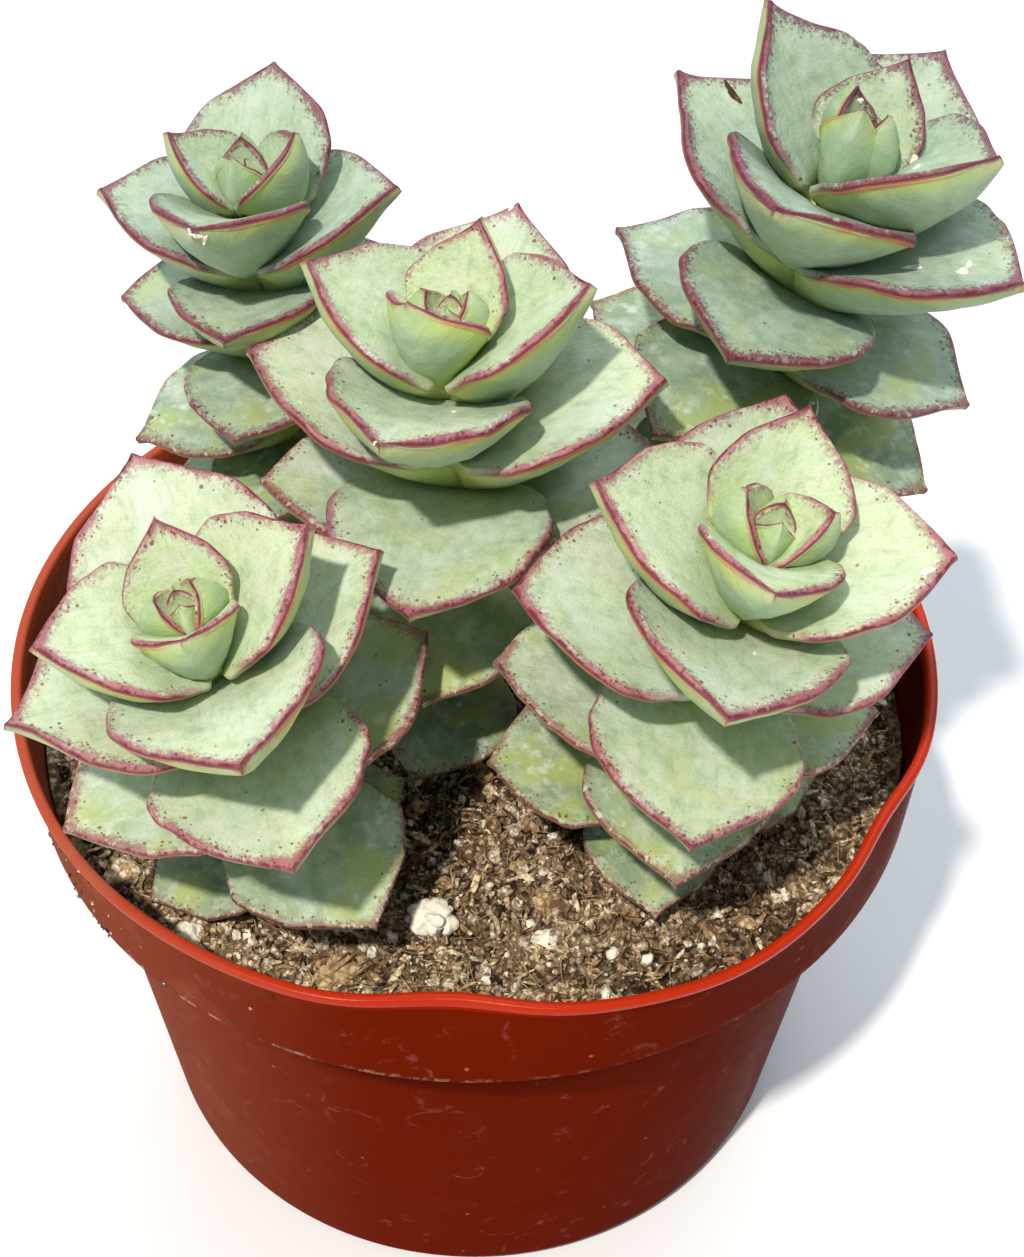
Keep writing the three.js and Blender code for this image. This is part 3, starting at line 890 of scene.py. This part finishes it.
def leafy_tower(name, tower, number, leaf, stem):
    """A stem with its opposite leaf pairs, meshed as one piece."""
    generator = np.random.default_rng(SEED * 100 + number)
    parts, faces = [], []

    def add(points, part_faces, edge, along, flat_place, age, tone, size, index):
        offset = sum(len(part["points"]) for part in parts)
        move = index * LEAF_NOISE_MOVE + number * TOWER_NOISE_MOVE
        faces.extend([[offset + corner for corner in face] for face in part_faces])
        parts.append({
            "points": points,
            "leaf_place": flat_place + np.array([move, 0, 0]),
            "edge": edge,
            "along": along,
            "age": np.full(len(points), age),
            "tone": np.full(len(points), tone),
            "leaf_scale": np.full(len(points), size),
        })

    pairs = [bud_pair(tower)] + tower["pairs"]
    for index, (height, bearing, length, rise, *opposite) in enumerate(pairs, -1):
        further_rise, length_share = opposite or (0, 1)
        below = pairs[index + 2][0] if index + 2 < len(pairs) else height - 3
        fill = min(BASE_FILL_MOST, (height - below) * BASE_FILL)
        centre, axes = leaf_axes(tower, height, bearing)
        age = min(1.0, max(index, 0) / PAIRS_TO_OLD)
        tone = np.clip(tower["tone"] + generator.uniform(-TONE_SPREAD, TONE_SPREAD), 0, 1)
        size = min(1.0, 0.25 + 0.75 * length / FULL_LEAF)
        leaves, tips = [], []
        sides = ((1, length, rise), (-1, length * length_share, rise + further_rise))
        for side, leaf_length, leaf_rise in sides:
            shape = leaf_shape(generator, age, leaf_length)
            points, edge, along, place = leaf_rings(leaf_length, leaf_rise, fill, shape)
            points = points * np.array([side, 1, 1])
            leaves.append((points, edge, along, place + np.array([0, OPPOSITE_NOISE_MOVE * side, 0])))
            tips.append(points[-1].mean(axis=0) + np.array([side * TIP_REACH, 0, 0]))
        first, second = leaves
        if rise < STEEP_RISE:
            whole = [np.concatenate([b[::-1], a[1:]]) for a, b in zip(first, second)]
            skins = [(whole, tips[1], tips[0])]
        else:
            inner = np.array([-0.5, 0, -1])
            backwards = [values[::-1] for values in second]
            skins = [(first, inner, tips[0]), (backwards, tips[1], inner * np.array([-1, 1, 1]))]
        for (points, edge, along, place), start, end in skins:
            add(
                centre + np.concatenate([points.reshape(-1, 3), [start, end]]) @ axes,
                skin_faces(*points.shape[:2]),
                np.concatenate([edge.ravel(), [0.0, 0.0]]),
                np.concatenate([along.ravel(), [along[0, 0], along[-1, 0]]]),
                np.concatenate([place.reshape(-1, 3), [place[0, 0], place[-1, 0]]]),
                age, tone, size, index,
            )
    leaf_face_count = len(faces)
    stem_points, stem_faces = stem_skin(tower)
    zero = np.zeros(len(stem_points))
    add(stem_points, stem_faces, zero, zero, np.zeros((len(stem_points), 3)), 1.0, 0.5, 1.0, 0)

    values = {key: np.concatenate([part[key] for part in parts]) for key in parts[0]}
    points, place = values.pop("points"), values.pop("leaf_place")
    piece = mesh_object(name + "_leaves", points, faces, leaf, values, {"leaf_place": place})
    piece.data.materials.append(stem)
    slots = np.zeros(len(piece.data.polygons), np.int32)
    slots[leaf_face_count:] = 1
    piece.data.polygons.foreach_set("material_index", slots)
    return piece


def stem_skin(tower):
    """A round stem from its buried end up into the pair below the bud."""
    top = tower["pairs"][1][0]
    parts = np.linspace(axis_part(tower, ROOT_LEVEL), axis_part(tower, top), STEM_RINGS)
    centres = axis_points(tower, parts)
    rings = centres[:, None, :] + around(STEM_RADIUS, circle_angles(STEM_SIDES), 0)
    points = np.concatenate([rings.reshape(-1, 3), [centres[0], centres[-1]]])
    return points, skin_faces(STEM_RINGS, STEM_SIDES, flipped=True)


# Pot and soil

def wall_bend(angles, height):
    """How far the lip, which is out of round, moves the wall out at angles and a height."""
    bearing = (np.degrees(angles) + 180) % 360 - 180
    bend = sum(move * np.exp(-(((bearing - at) / spread) ** 2)) for at, move, spread in LIP_BENDS)
    return bend * np.clip((height - BAND_BOTTOM) / (POT_HEIGHT - BAND_BOTTOM), 0, None) ** BEND_POWER


def inner_radius(height):
    body_top = BAND_RADIUS - LEDGE
    return FOOT_RADIUS + (body_top - FOOT_RADIUS) * height / BAND_BOTTOM - WALL


def rounded(corners, radii, steps=5):
    """A polyline whose corners are rounded by arcs of about the given radii."""
    points = []
    for index, (corner, radius) in enumerate(zip(corners, radii)):
        if radius == 0:
            points.append(corner)
            continue
        arms = [corners[index + side] - corner for side in (-1, 1)]
        start, stop = (
            corner + unit(arm) * min(radius, np.linalg.norm(arm) * 0.45) for arm in arms
        )
        for k in np.linspace(0, 1, steps):
            points.append(start * (1 - k) ** 2 + corner * 2 * k * (1 - k) + stop * k**2)
    return points


def pot_piece(material, lip_material):
    """The whole pot, out of round at its lip, with its drain holes cut."""
    body_top = BAND_RADIUS - LEDGE
    step = BAND_BOTTOM + STEP_RISE
    corners = np.array([
        (0, 0), (FOOT_RADIUS - FOOT_BEVEL, 0), (FOOT_RADIUS, FOOT_BEVEL),
        (body_top, BAND_BOTTOM - BAND_UNDERCUT), (BAND_RADIUS, BAND_BOTTOM),
        (RIM_RADIUS - LIP_STEP, POT_HEIGHT - LIP), (RIM_RADIUS, POT_HEIGHT - LIP + 0.2),
        (RIM_RADIUS, POT_HEIGHT), (RIM_RADIUS - LIP, POT_HEIGHT),
        (BAND_RADIUS - WALL, step + 0.5), (inner_radius(step), step),
        (inner_radius(FLOOR), FLOOR), (0, FLOOR),
    ])
    radii = [0, 0.9, 0.9, 0.6, 0.5, 0.5, 0.4, 0.55, 0.55, 0.4, 0.5, 0.8, 0]
    profile = []
    for point in rounded(corners, radii):
        if profile:
            count = int(np.linalg.norm(point - profile[-1]) // PROFILE_STEP) + 1
            profile.extend(np.linspace(profile[-1], point, count + 1)[1:-1])
        profile.append(point)
    angles = circle_angles(POT_SIDES)
    height = np.array(profile)[1:-1, 1:]
    radius = np.array(profile)[1:-1, :1] + wall_bend(angles, height)
    points = around(radius, angles, height).reshape(-1, 3)
    points = np.concatenate([points, [[0, 0, 0], [0, 0, FLOOR]]])
    faces = skin_faces(len(height), POT_SIDES, flipped=True)
    pot = mesh_object("pot_shell", points, faces, material)
    for index in range(DRAIN_COUNT):
        cut_hole(pot, around(DRAIN_CIRCLE, (index + 0.5) / DRAIN_COUNT * TURN, 0))
    pot.data.materials.append(lip_material)
    for face in pot.data.polygons:
        face.material_index = int(face.center.z > (POT_HEIGHT - LIP) * MM)
    return pot


def cut_hole(pot, middle):
    """Cuts one drain hole through the floor."""
    angles = circle_angles(DRAIN_SIDES)
    rings = [middle + around(DRAIN_RADIUS, angles, height) for height in (-2.0, FLOOR + 2)]
    corners = range(2 * DRAIN_SIDES)
    faces = [corners[DRAIN_SIDES - 1::-1], corners[DRAIN_SIDES:]]
    faces += tube_faces(2, DRAIN_SIDES, flipped=True).tolist()
    cutter = mesh_object("cutter", np.concatenate(rings), faces, pot.data.materials[0])
    modifier = pot.modifiers.new("drain", "BOOLEAN")
    modifier.object = cutter
    modifier.operation = "DIFFERENCE"
    modifier.solver = "EXACT"
    shape = bpy.data.meshes.new_from_object(pot.evaluated_get(bpy.context.evaluated_depsgraph_get()))
    pot.modifiers.clear()
    old = pot.data
    pot.data = shape
    bpy.data.meshes.remove(old)
    bpy.data.objects.remove(cutter)


def soil_height(east, north):
    height = np.full(np.shape(east), float(SOIL_LEVEL))
    for rise, eastward, northward, phase in SOIL_WAVES:
        height = height + rise * np.sin(east * eastward + north * northward + phase)
    for tower in TOWERS.values():
        distance = np.hypot(east - tower["base"][0], north - tower["base"][1])
        height = height - STEM_DIP * np.exp(-((distance / STEM_DIP_WIDTH) ** 2))
    return height


def lattice_noise(east, north, size, generator):
    """Smooth bumps from -1 to 1, each about one size across."""
    count = int(2 * NOISE_REACH / size) + 3
    heights = generator.uniform(-1, 1, (count, count))
    across, up = (east + NOISE_REACH) / size, (north + NOISE_REACH) / size
    i, j = across.astype(int), up.astype(int)
    s, w = smooth(0, 1, across - i), smooth(0, 1, up - j)
    low = heights[i, j] * (1 - s) + heights[i + 1, j] * s
    high = heights[i, j + 1] * (1 - s) + heights[i + 1, j + 1] * s
    return low * (1 - w) + high * w


def rough_soil(east, north):
    """The soil's level with its clods and hollows, and a tone from 0 to 1 that is painted shade, low
    in the hollows and high on the clods.
    """
    generator = np.random.default_rng(SEED)
    bumps = np.zeros(np.shape(east))
    for size, rise in SOIL_BUMPS:
        bumps = bumps + rise * lattice_noise(east, north, size, generator)
    edge = smooth(44, SOIL_REACH, np.hypot(east, north))
    level = soil_height(east, north) + bumps * (1 - 0.5 * edge) - SOIL_EDGE_DROP * edge
    # The tone is painted shade: low in the hollows and high on the clods
    return level, np.clip(0.5 + 0.45 * bumps, 0, 1)


def soil_bed(material):
    """The whole block of soil, with a rough top, down to the floor of the pot."""
    angles = circle_angles(SOIL_SIDES)
    radii = np.linspace(0.5, SOIL_REACH, SOIL_RINGS)[:, None]
    radii = radii * (1 + wall_bend(angles, SOIL_LEVEL) / SOIL_REACH)
    top = around(radii, angles, 0)
    # The bed's tone is painted shade, darker in the hollows
    top[..., 2], tone = rough_soil(top[..., 0], top[..., 1])
    step, bottom = BAND_BOTTOM + STEP_RISE, FLOOR + SOIL_GAP
    sides = ((SOIL_REACH - 0.1, step + 0.9), (inner_radius(step) - 0.2, step + 0.2),
             (inner_radius(bottom) - 0.3, bottom))
    grid = np.stack([*top, *(around(radius, angles, height) for radius, height in sides)])
    ends = [[0, 0, top[0, :, 2].mean()], [0, 0, bottom]]
    points = np.concatenate([grid.reshape(-1, 3), ends])
    tones = np.concatenate([tone.ravel(), np.full(len(points) - tone.size, 0.3)])
    faces = skin_faces(len(grid), SOIL_SIDES)
    return mesh_object("soil_bed", points, faces, material, {"tone": tones}, smooth_shaded=False)


def octahedron():
    """Points and triangles of an eight-sided lump of radius 1."""
    points = np.array([(1, 0, 0), (0, 1, 0), (-1, 0, 0), (0, -1, 0), (0, 0, 1), (0, 0, -1)], float)
    faces = [(i, (i + 1) % 4, 4) for i in range(4)] + [((i + 1) % 4, i, 5) for i in range(4)]
    return points, np.array(faces)


def icosahedron(levels):
    """Points and triangles of a ball of radius 1, split into finer triangles a few times."""
    golden = (1 + math.sqrt(5)) / 2
    points = []
    for a in (-1, 1):
        for b in (-golden, golden):
            points += [(0, a, b), (a, b, 0), (b, 0, a)]
    points = [Vector(point).normalized() for point in points]
    side = min((points[0] - point).length for point in points[1:]) * 1.1
    count = len(points)
    faces = []
    for i in range(count):
        for j in range(i + 1, count):
            for k in range(j + 1, count):
                a, b, c = points[i], points[j], points[k]
                if max((a - b).length, (b - c).length, (a - c).length) < side:
                    outward = (b - a).cross(c - a).dot(a) > 0
                    faces.append((i, j, k) if outward else (i, k, j))
    for _ in range(levels):
        middles, finer = {}, []
        for a, b, c in faces:
            corners = []
            for first, second in ((a, b), (b, c), (c, a)):
                key = (min(first, second), max(first, second))
                if key not in middles:
                    middles[key] = len(points)
                    points.append((points[first] + points[second]).normalized())
                corners.append(middles[key])
            ab, bc, ca = corners
            finer += [(a, ab, ca), (b, bc, ab), (c, ca, bc), (ab, bc, ca)]
        faces = finer
    return np.array(points), np.array(faces)


def turns(yaw, pitch, roll):
    """Rotation matrices, one for each set of angles."""
    cy, sy, cp, sp, cr, sr = (f(a) for a in (yaw, pitch, roll) for f in (np.cos, np.sin))
    rows = [
        [cy * cp, cy * sp * sr - sy * cr, cy * sp * cr + sy * sr],
        [sy * cp, sy * sp * sr + cy * cr, sy * sp * cr - cy * sr],
        [-sp, cp * sr, cp * cr],
    ]
    return np.array(rows).transpose(2, 0, 1)


def joined(name, shapes, faces, tones, material, smooth_shaded=False):
    """One mesh from many small shapes that have the same faces."""
    count, corners = shapes.shape[:2]
    all_faces = faces + (np.arange(count) * corners)[:, None, None]
    all_faces = all_faces.reshape(-1, faces.shape[1]).tolist()
    tone = {"tone": np.repeat(tones, corners)}
    return mesh_object(
        name, shapes.reshape(-1, 3), all_faces, material, tone, smooth_shaded=smooth_shaded
    )


def spots_on_soil(count, reach, generator):
    """Random places on the soil, clear of the stems."""
    angle = generator.uniform(0, TURN, count * 2)
    radius = reach * np.sqrt(generator.uniform(0, 1, count * 2))
    east, north = radius * np.cos(angle), radius * np.sin(angle)
    clear = np.ones(count * 2, bool)
    for tower in TOWERS.values():
        clear &= np.hypot(east - tower["base"][0], north - tower["base"][1]) > STEM_RADIUS + 1
    return east[clear][:count], north[clear][:count]


def crumbs(name, count, least, most, lift, material, seed, levels=0, roughness=0.34):
    """Rough lumps that lie on the soil, each an octahedron where levels is below 0."""
    generator = np.random.default_rng(seed)
    draw = generator.uniform
    east, north = spots_on_soil(count, SOIL_REACH - 1.2, generator)
    ball, faces = octahedron() if levels < 0 else icosahedron(levels)
    size = least * (most / least) ** (draw(0, 1, count) ** 1.7) / 2
    radii = 1 + draw(-roughness, roughness, (count, len(ball), 1))
    shapes = ball[None] * radii * draw(0.6, 1.25, (count, 1, 3)) * size[:, None, None]
    shapes = shapes @ turns(*draw(0, TURN, (3, count)))
    level, height_shade = rough_soil(east, north)
    height = level + size * draw(-0.2, lift, count)
    shapes = shapes + np.stack([east, north, height], axis=1)[:, None]
    # Crumbs on clods are lighter and crumbs in hollows darker: painted shade
    tones = np.clip(draw(0, 1, count) + 0.9 * (height_shade - 0.5), 0, 1)
    return joined(name, shapes, faces, tones, material)


def flakes(name, count, least, most, material, seed):
    """Thin bent chips, lying at random, each of three cross-sections with four corners."""
    generator = np.random.default_rng(seed)
    draw = generator.uniform
    east, north = spots_on_soil(count, SOIL_REACH - 2.2, generator)
    length = least * (most / least) ** (draw(0, 1, count) ** 1.5)
    width = length * draw(0.12, 0.4, count)
    thick = draw(0.1, 0.3, count)
    bend = length * draw(-0.12, 0.16, count)
    shapes = np.zeros((count, 12, 3))
    sections = ((-0.5, 0.1, 0.8, 0), (0.0, 0.75, 1.0, bend), (0.5, 0.1, 0.8, 0))
    for section, (place, narrowest, widest, middle) in enumerate(sections):
        half_width = width * draw(narrowest, widest, count) / 2
        for corner, (side, top) in enumerate(((-1, -1), (1, -1), (1, 1), (-1, 1))):
            point = shapes[:, section * 4 + corner]
            point[:, 0] = place * length + draw(-0.1, 0.1, count) * length
            point[:, 1] = side * half_width
            point[:, 2] = middle + top * thick / 2
    faces = np.array([(3, 2, 1, 0), (8, 9, 10, 11), *tube_faces(3, 4, flipped=True)])
    yaw = draw(0, TURN, count)
    pitch, roll = generator.normal(0, 0.3, (2, count))
    shapes = np.einsum("nij,nkj->nki", turns(yaw, pitch, roll), shapes)
    height = rough_soil(east, north)[0] + 0.3 + 0.25 * np.abs(pitch) * length
    shapes = shapes + np.stack([east, north, height], axis=1)[:, None]
    return joined(name, shapes, faces, draw(0, 1, count), material)


def fibres(name, count, least, most, thickness, material, seed):
    """Fine curved strands that lie on the soil and lift off it a little."""
    generator = np.random.default_rng(seed)
    draw = generator.uniform
    east, north = spots_on_soil(count, SOIL_REACH - 4, generator)
    stations, sides = 7, 3
    length = draw(least, most, (count, 1))
    heading = draw(0, TURN, (count, 1))
    run = np.linspace(-0.5, 0.5, stations)
    angle = heading + generator.normal(0, 1.1, (count, 1)) * run
    east = east[:, None] + np.cumsum(np.cos(angle), axis=1) * length / (stations - 1)
    north = north[:, None] + np.cumsum(np.sin(angle), axis=1) * length / (stations - 1)
    pull = np.minimum(1, (SOIL_REACH - 1) / np.hypot(east, north))
    east, north = east * pull, north * pull
    level, _ = rough_soil(east, north)
    calm = level.mean(axis=1)[:, None] * 0.7 + level * 0.3
    height = calm + 0.45 + np.maximum(draw(-0.6, 2.4, (count, 1)) * (0.5 + run) ** 2, -0.2)
    radius = draw(0.5, 1.0, (count, 1)) * thickness * (1 - 0.95 * np.abs(run * 2) ** 3)
    strands = []
    for turn in circle_angles(sides):
        aside = radius * math.cos(turn)
        level = [east - np.sin(angle) * aside, north + np.cos(angle) * aside]
        strands.append(np.stack([*level, height + radius * math.sin(turn)], axis=-1))
    shapes = np.stack(strands, axis=2).reshape(count, -1, 3)
    faces = tube_faces(stations, sides, flipped=True)
    return joined(name, shapes, faces, draw(0, 1, count), material, True)


def popcorn(name, node, seed, material):
    """A lump of expanded glass: many small balls grown together, in the node's box."""
    generator = np.random.default_rng(seed)
    ball, faces = icosahedron(4)
    count = POPCORN_BALLS
    centres = unit(generator.normal(0, 1, (count, 3))) * generator.uniform(0.6, 0.76, (count, 1))
    sizes = generator.uniform(0.16, 0.34, count)
    reach = np.full(len(ball), 0.72)
    for centre, size in zip(centres, sizes):
        toward = ball @ centre
        inside = toward**2 - centre @ centre + size**2
        hit = toward + np.sqrt(np.maximum(inside, 0))
        reach = np.where(inside > 0, np.maximum(reach, hit), reach)
    points = ball * (reach * (1 + generator.uniform(-0.012, 0.012, len(ball))))[:, None]
    low, high = node_box(node)
    share = (points - points.min(axis=0)) / np.ptp(points, axis=0)
    return mesh_object(name, low + share * (high - low), faces.tolist(), material)


def chip(name, node, length, width, height, turn, seed, material):
    """A broken bit of bark with flat faces."""
    generator = np.random.default_rng(seed)
    ball, faces = icosahedron(2)
    reach = np.ones(len(ball))
    for cut in unit(generator.normal(0, 1, (11, 3))):
        toward = ball @ cut
        plane = generator.uniform(0.55, 0.8)
        reach = np.where(toward > 0.2, np.minimum(reach, plane / np.maximum(toward, 0.2)), reach)
    points = ball * (reach * (1 + generator.uniform(-0.03, 0.03, len(ball))))[:, None]
    share = (points - points.min(axis=0)) / np.ptp(points, axis=0) - 0.5
    points = turned(share * np.array([length, width, height]), turn) + sum(node_box(node)) / 2
    tone = {"tone": np.full(len(points), generator.uniform(0.5, 0.9))}
    return mesh_object(name, points, faces.tolist(), material, tone, smooth_shaded=False)


def husk(name, node, length, width, height, turn, seed, material):
    """A dry husk flake: ribs side by side that fray at one end."""
    generator = np.random.default_rng(seed)
    draw = generator.uniform
    ribs, stations, sides = 13, 10, 5
    run = np.linspace(-0.5, 0.5, stations)[:, None]
    roll = circle_angles(sides)
    radius = width / ribs * 0.85 * (1 - 0.9 * smooth(0.2, 0.5, run)) * smooth(-0.56, -0.4, run)
    shapes = np.zeros((ribs, stations, sides, 3))
    for rib, side in enumerate(np.linspace(-1, 1, ribs)):
        shapes[rib, ..., 0] = run * length * draw(0.7, 1.08)
        across = side * width / 2 * (0.62 + 0.5 * (run + 0.5)) + draw(-0.15, 0.15)
        shapes[rib, ..., 1] = across + radius * np.cos(roll)
        rise = 0.25 - 0.55 * side**2 + 0.35 * draw(-1, 1) * (run + 0.5) ** 2
        shapes[rib, ..., 2] = height * (rise + 0.25 * np.cos(run * 3)) + radius * np.sin(roll)
    shapes = turned(shapes.reshape(ribs, -1, 3), turn) + sum(node_box(node)) / 2
    faces = tube_faces(stations, sides, flipped=True)
    return joined(name, shapes, faces, draw(0.3, 1, ribs), material, True)


# Marks where the photograph shows them, and dirt on the pot

def seen_from_camera(pixel, pieces):
    """The place in millimetres where a pixel's line of sight first meets the pieces, and the
    surface's normal there, or None if it passes them all."""
    camera = bpy.context.scene.camera.matrix_world
    across = (pixel[0] - PHOTO_WIDTH / 2) / FOCAL_PIXELS
    upward = (PHOTO_HEIGHT / 2 - pixel[1]) / FOCAL_PIXELS
    direction = (camera.to_3x3() @ Vector((across, upward, -1))).normalized()
    hits = [piece.ray_cast(camera.translation, direction) for piece in pieces]
    hits = [hit for hit in hits if hit[0]]
    if not hits:
        return None
    _, spot, normal, _ = min(hits, key=lambda hit: (hit[1] - camera.translation).length)
    return np.array(spot) / MM, np.array(normal)


def flecks(name, marks, thickness, tone, pieces, material, seed):
    """Thin flat flecks that lie on the leaves. Each mark is a pixel of the photograph, and the
    fleck's length, width and turn in the picture."""
    generator = np.random.default_rng(seed)
    ball, faces = icosahedron(2)
    shapes = []
    for pixel, length, width, turn in marks:
        seen = seen_from_camera(pixel, pieces)
        if seen is None:
            continue
        spot, normal = seen
        right = unit(np.cross(np.array([0, 1.0, 0.3]), normal))
        forward = np.cross(normal, right)
        angle = math.radians(turn)
        first = right * math.cos(angle) + forward * math.sin(angle)
        second = np.cross(normal, first)
        lobes = 1 + 0.16 * np.sin(3 * np.arctan2(ball[:, 1], ball[:, 0]) + generator.uniform(0, 6))
        lobes = (lobes + generator.uniform(-0.09, 0.09, len(ball)))[:, None]
        local = ball * lobes * np.array([length, width, thickness]) / 2
        shapes.append(spot + local @ np.array([first, second, normal]))
    return joined(name, np.array(shapes), faces, np.full(len(shapes), tone), material)


def wall_dirt(name, count, material, seed):
    """Crumbs that stick to the outside of the pot's band, most of them on its left."""
    generator = np.random.default_rng(seed)
    draw = generator.uniform
    angle = np.radians(generator.normal(-142, 11, count))
    part = draw(0, 1, count) ** 1.4
    height = BAND_BOTTOM + (POT_HEIGHT - LIP - BAND_BOTTOM) * part
    radius = BAND_RADIUS + (RIM_RADIUS - LIP_STEP - BAND_RADIUS) * part + wall_bend(angle, height)
    ball, faces = icosahedron(0)
    shapes = ball[None] * draw(0.2, 0.75, (count, 1, 1)) / 2
    shapes = shapes * (1 + draw(-0.35, 0.35, (count, len(ball), 1))) * draw(0.5, 1.2, (count, 1, 3))
    shapes = shapes + around(radius, angle, height)[:, None]
    return joined(name, shapes, faces, draw(0, 0.8, count), material)


# Stage, lights and camera

def add_floor():
    look = Look("pale_floor")
    material = look.finish(Base_Color=(0.8, 0.8, 0.8, 1), Roughness=0.9, Specular_IOR_Level=0.1)
    side = STAGE_HALF_SIDE
    corners = [(-side, -side, 0), (side, -side, 0), (side, side, 0), (-side, side, 0)]
    mesh_object("floor", corners, [(0, 1, 2, 3)], material, smooth_shaded=False)


def add_light(name, place, size, power, tint):
    """A round lamp that faces the plant."""
    data = bpy.data.lights.new(name, "AREA")
    data.shape = "DISK"
    data.size = size * MM
    data.energy = power
    data.color = tint
    lamp = bpy.data.objects.new(name, data)
    lamp.location = Vector(place) * MM
    aim = Vector(LIGHT_TARGET) * MM - lamp.location
    lamp.rotation_euler = aim.to_track_quat("-Z", "Y").to_euler()
    bpy.context.scene.collection.objects.link(lamp)


def toward(elevation, bearing):
    """The direction to a light, from its elevation and bearing in degrees."""
    up, round_about = math.radians(elevation), math.radians(bearing)
    level = math.cos(up)
    return Vector((level * math.cos(round_about), level * math.sin(round_about), math.sin(up)))


def light_scene():
    world = bpy.data.worlds.new("studio")
    world.use_nodes = True
    background = world.node_tree.nodes["Background"]
    background.inputs["Color"].default_value = WORLD_TINT
    background.inputs["Strength"].default_value = WORLD_STRENGTH
    bpy.context.scene.world = world
    sun = toward(SUN_ELEVATION, SUN_BEARING) * KEY_DISTANCE
    add_light("key", sun, KEY_SIZE, KEY_POWER, KEY_TINT)
    sky = toward(FILL_ELEVATION, FILL_BEARING) * FILL_DISTANCE
    add_light("fill", sky, FILL_SIZE, FILL_POWER, FILL_TINT)
    view = bpy.context.scene.view_settings
    view.view_transform = "Standard"
    view.look = "None"


def add_camera():
    data = bpy.data.cameras.new("camera")
    data.sensor_width = SENSOR
    data.lens = FOCAL_PIXELS * SENSOR / max(PHOTO_WIDTH, PHOTO_HEIGHT)
    data.clip_start = 0.01
    camera = bpy.data.objects.new("camera", data)
    tilt = Matrix.Rotation(math.radians(90 - CAMERA_ELEVATION), 4, "X")
    roll = Matrix.Rotation(math.radians(CAMERA_ROLL), 4, "Z")
    back = Matrix.Translation((0, 0, CAMERA_DISTANCE * MM))
    camera.matrix_world = Matrix.Translation(Vector(CAMERA_TARGET) * MM) @ tilt @ roll @ back
    bpy.context.scene.collection.objects.link(camera)
    bpy.context.scene.camera = camera


def place(piece, slot, node=None):
    """Attaches a piece to the root body, and hides the node that it stands for."""
    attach(piece, "root")
    if node:
        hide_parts(node)
    return piece


add_camera()
light_scene()
add_floor()

leaf_material = leaf_look()
stem_material = stem_look()
leaves = []
for number, (tower_name, tower) in enumerate(TOWERS.items()):
    piece = leafy_tower(tower_name, tower, number, leaf_material, stem_material)
    leaves.append(place(piece, "leaf", tower_name))

place(pot_piece(pot_look("pot_plastic", 0.001), pot_look("pot_lip", 0.12)), "pot_plastic", "pot")

peat = soil_look("peat", "#281d14", "#8c7054", "#dec49e", 0.0006)
crumb = soil_look("peat_crumbs", "#32241a", "#ba9c7c", "#fff2d6", 0.0005)
bark = soil_look("bark_bits", "#483321", "#c4a278", "#fce8c2", 0.0006)
straw = soil_look("straw", "#886c48", "#caae82", "#ecd6aa", 0.0005)
glass = perlite_look()

# Loose soil, by count, least and greatest size, and then how far it stands out or how thick it is
place(soil_bed(peat), "soil", "soil")
place(crumbs("soil_crumbs", 4600, 0.6, 1.9, 0.6, crumb, seed=11), "soil")
place(crumbs("soil_grains", 12000, 0.25, 0.8, 1.2, crumb, seed=15, levels=-1), "soil")
place(flakes("soil_flakes", 4400, 0.7, 3.2, bark, seed=12), "soil")
place(fibres("soil_fibres", 900, 2.0, 6.5, 0.09, straw, seed=13), "soil")
place(crumbs("soil_chips", 70, 1.4, 3.2, 0.8, bark, seed=16, levels=1), "bark")
place(crumbs("soil_grit", 420, 0.3, 1.6, 0.9, glass, seed=14, levels=1, roughness=0.2), "perlite")
for seed, node in enumerate(PERLITE, 20):
    place(popcorn(node + "_lump", node, seed, glass), "perlite", node)
for seed, (node, size_and_turn) in enumerate(CHIPS.items(), 30):
    place(chip(node + "_chip", node, *size_and_turn, seed, bark), "bark", node)
place(husk("husk_flake", "bark_front", *HUSK, 40, straw), "bark", "bark_front")

bpy.context.view_layer.update()
# White flecks on the leaves, two of them painted glints of water drops
place(flecks("white_flecks_and_glints", WHITE_FLECKS_AND_GLINTS, 0.25, 1, leaves, glass, 50), "perlite")
place(flecks("scar", SCARS, 0.3, 0, leaves, bark, 51), "bark")
place(wall_dirt("pot_dirt", 64, crumb, 52), "soil")
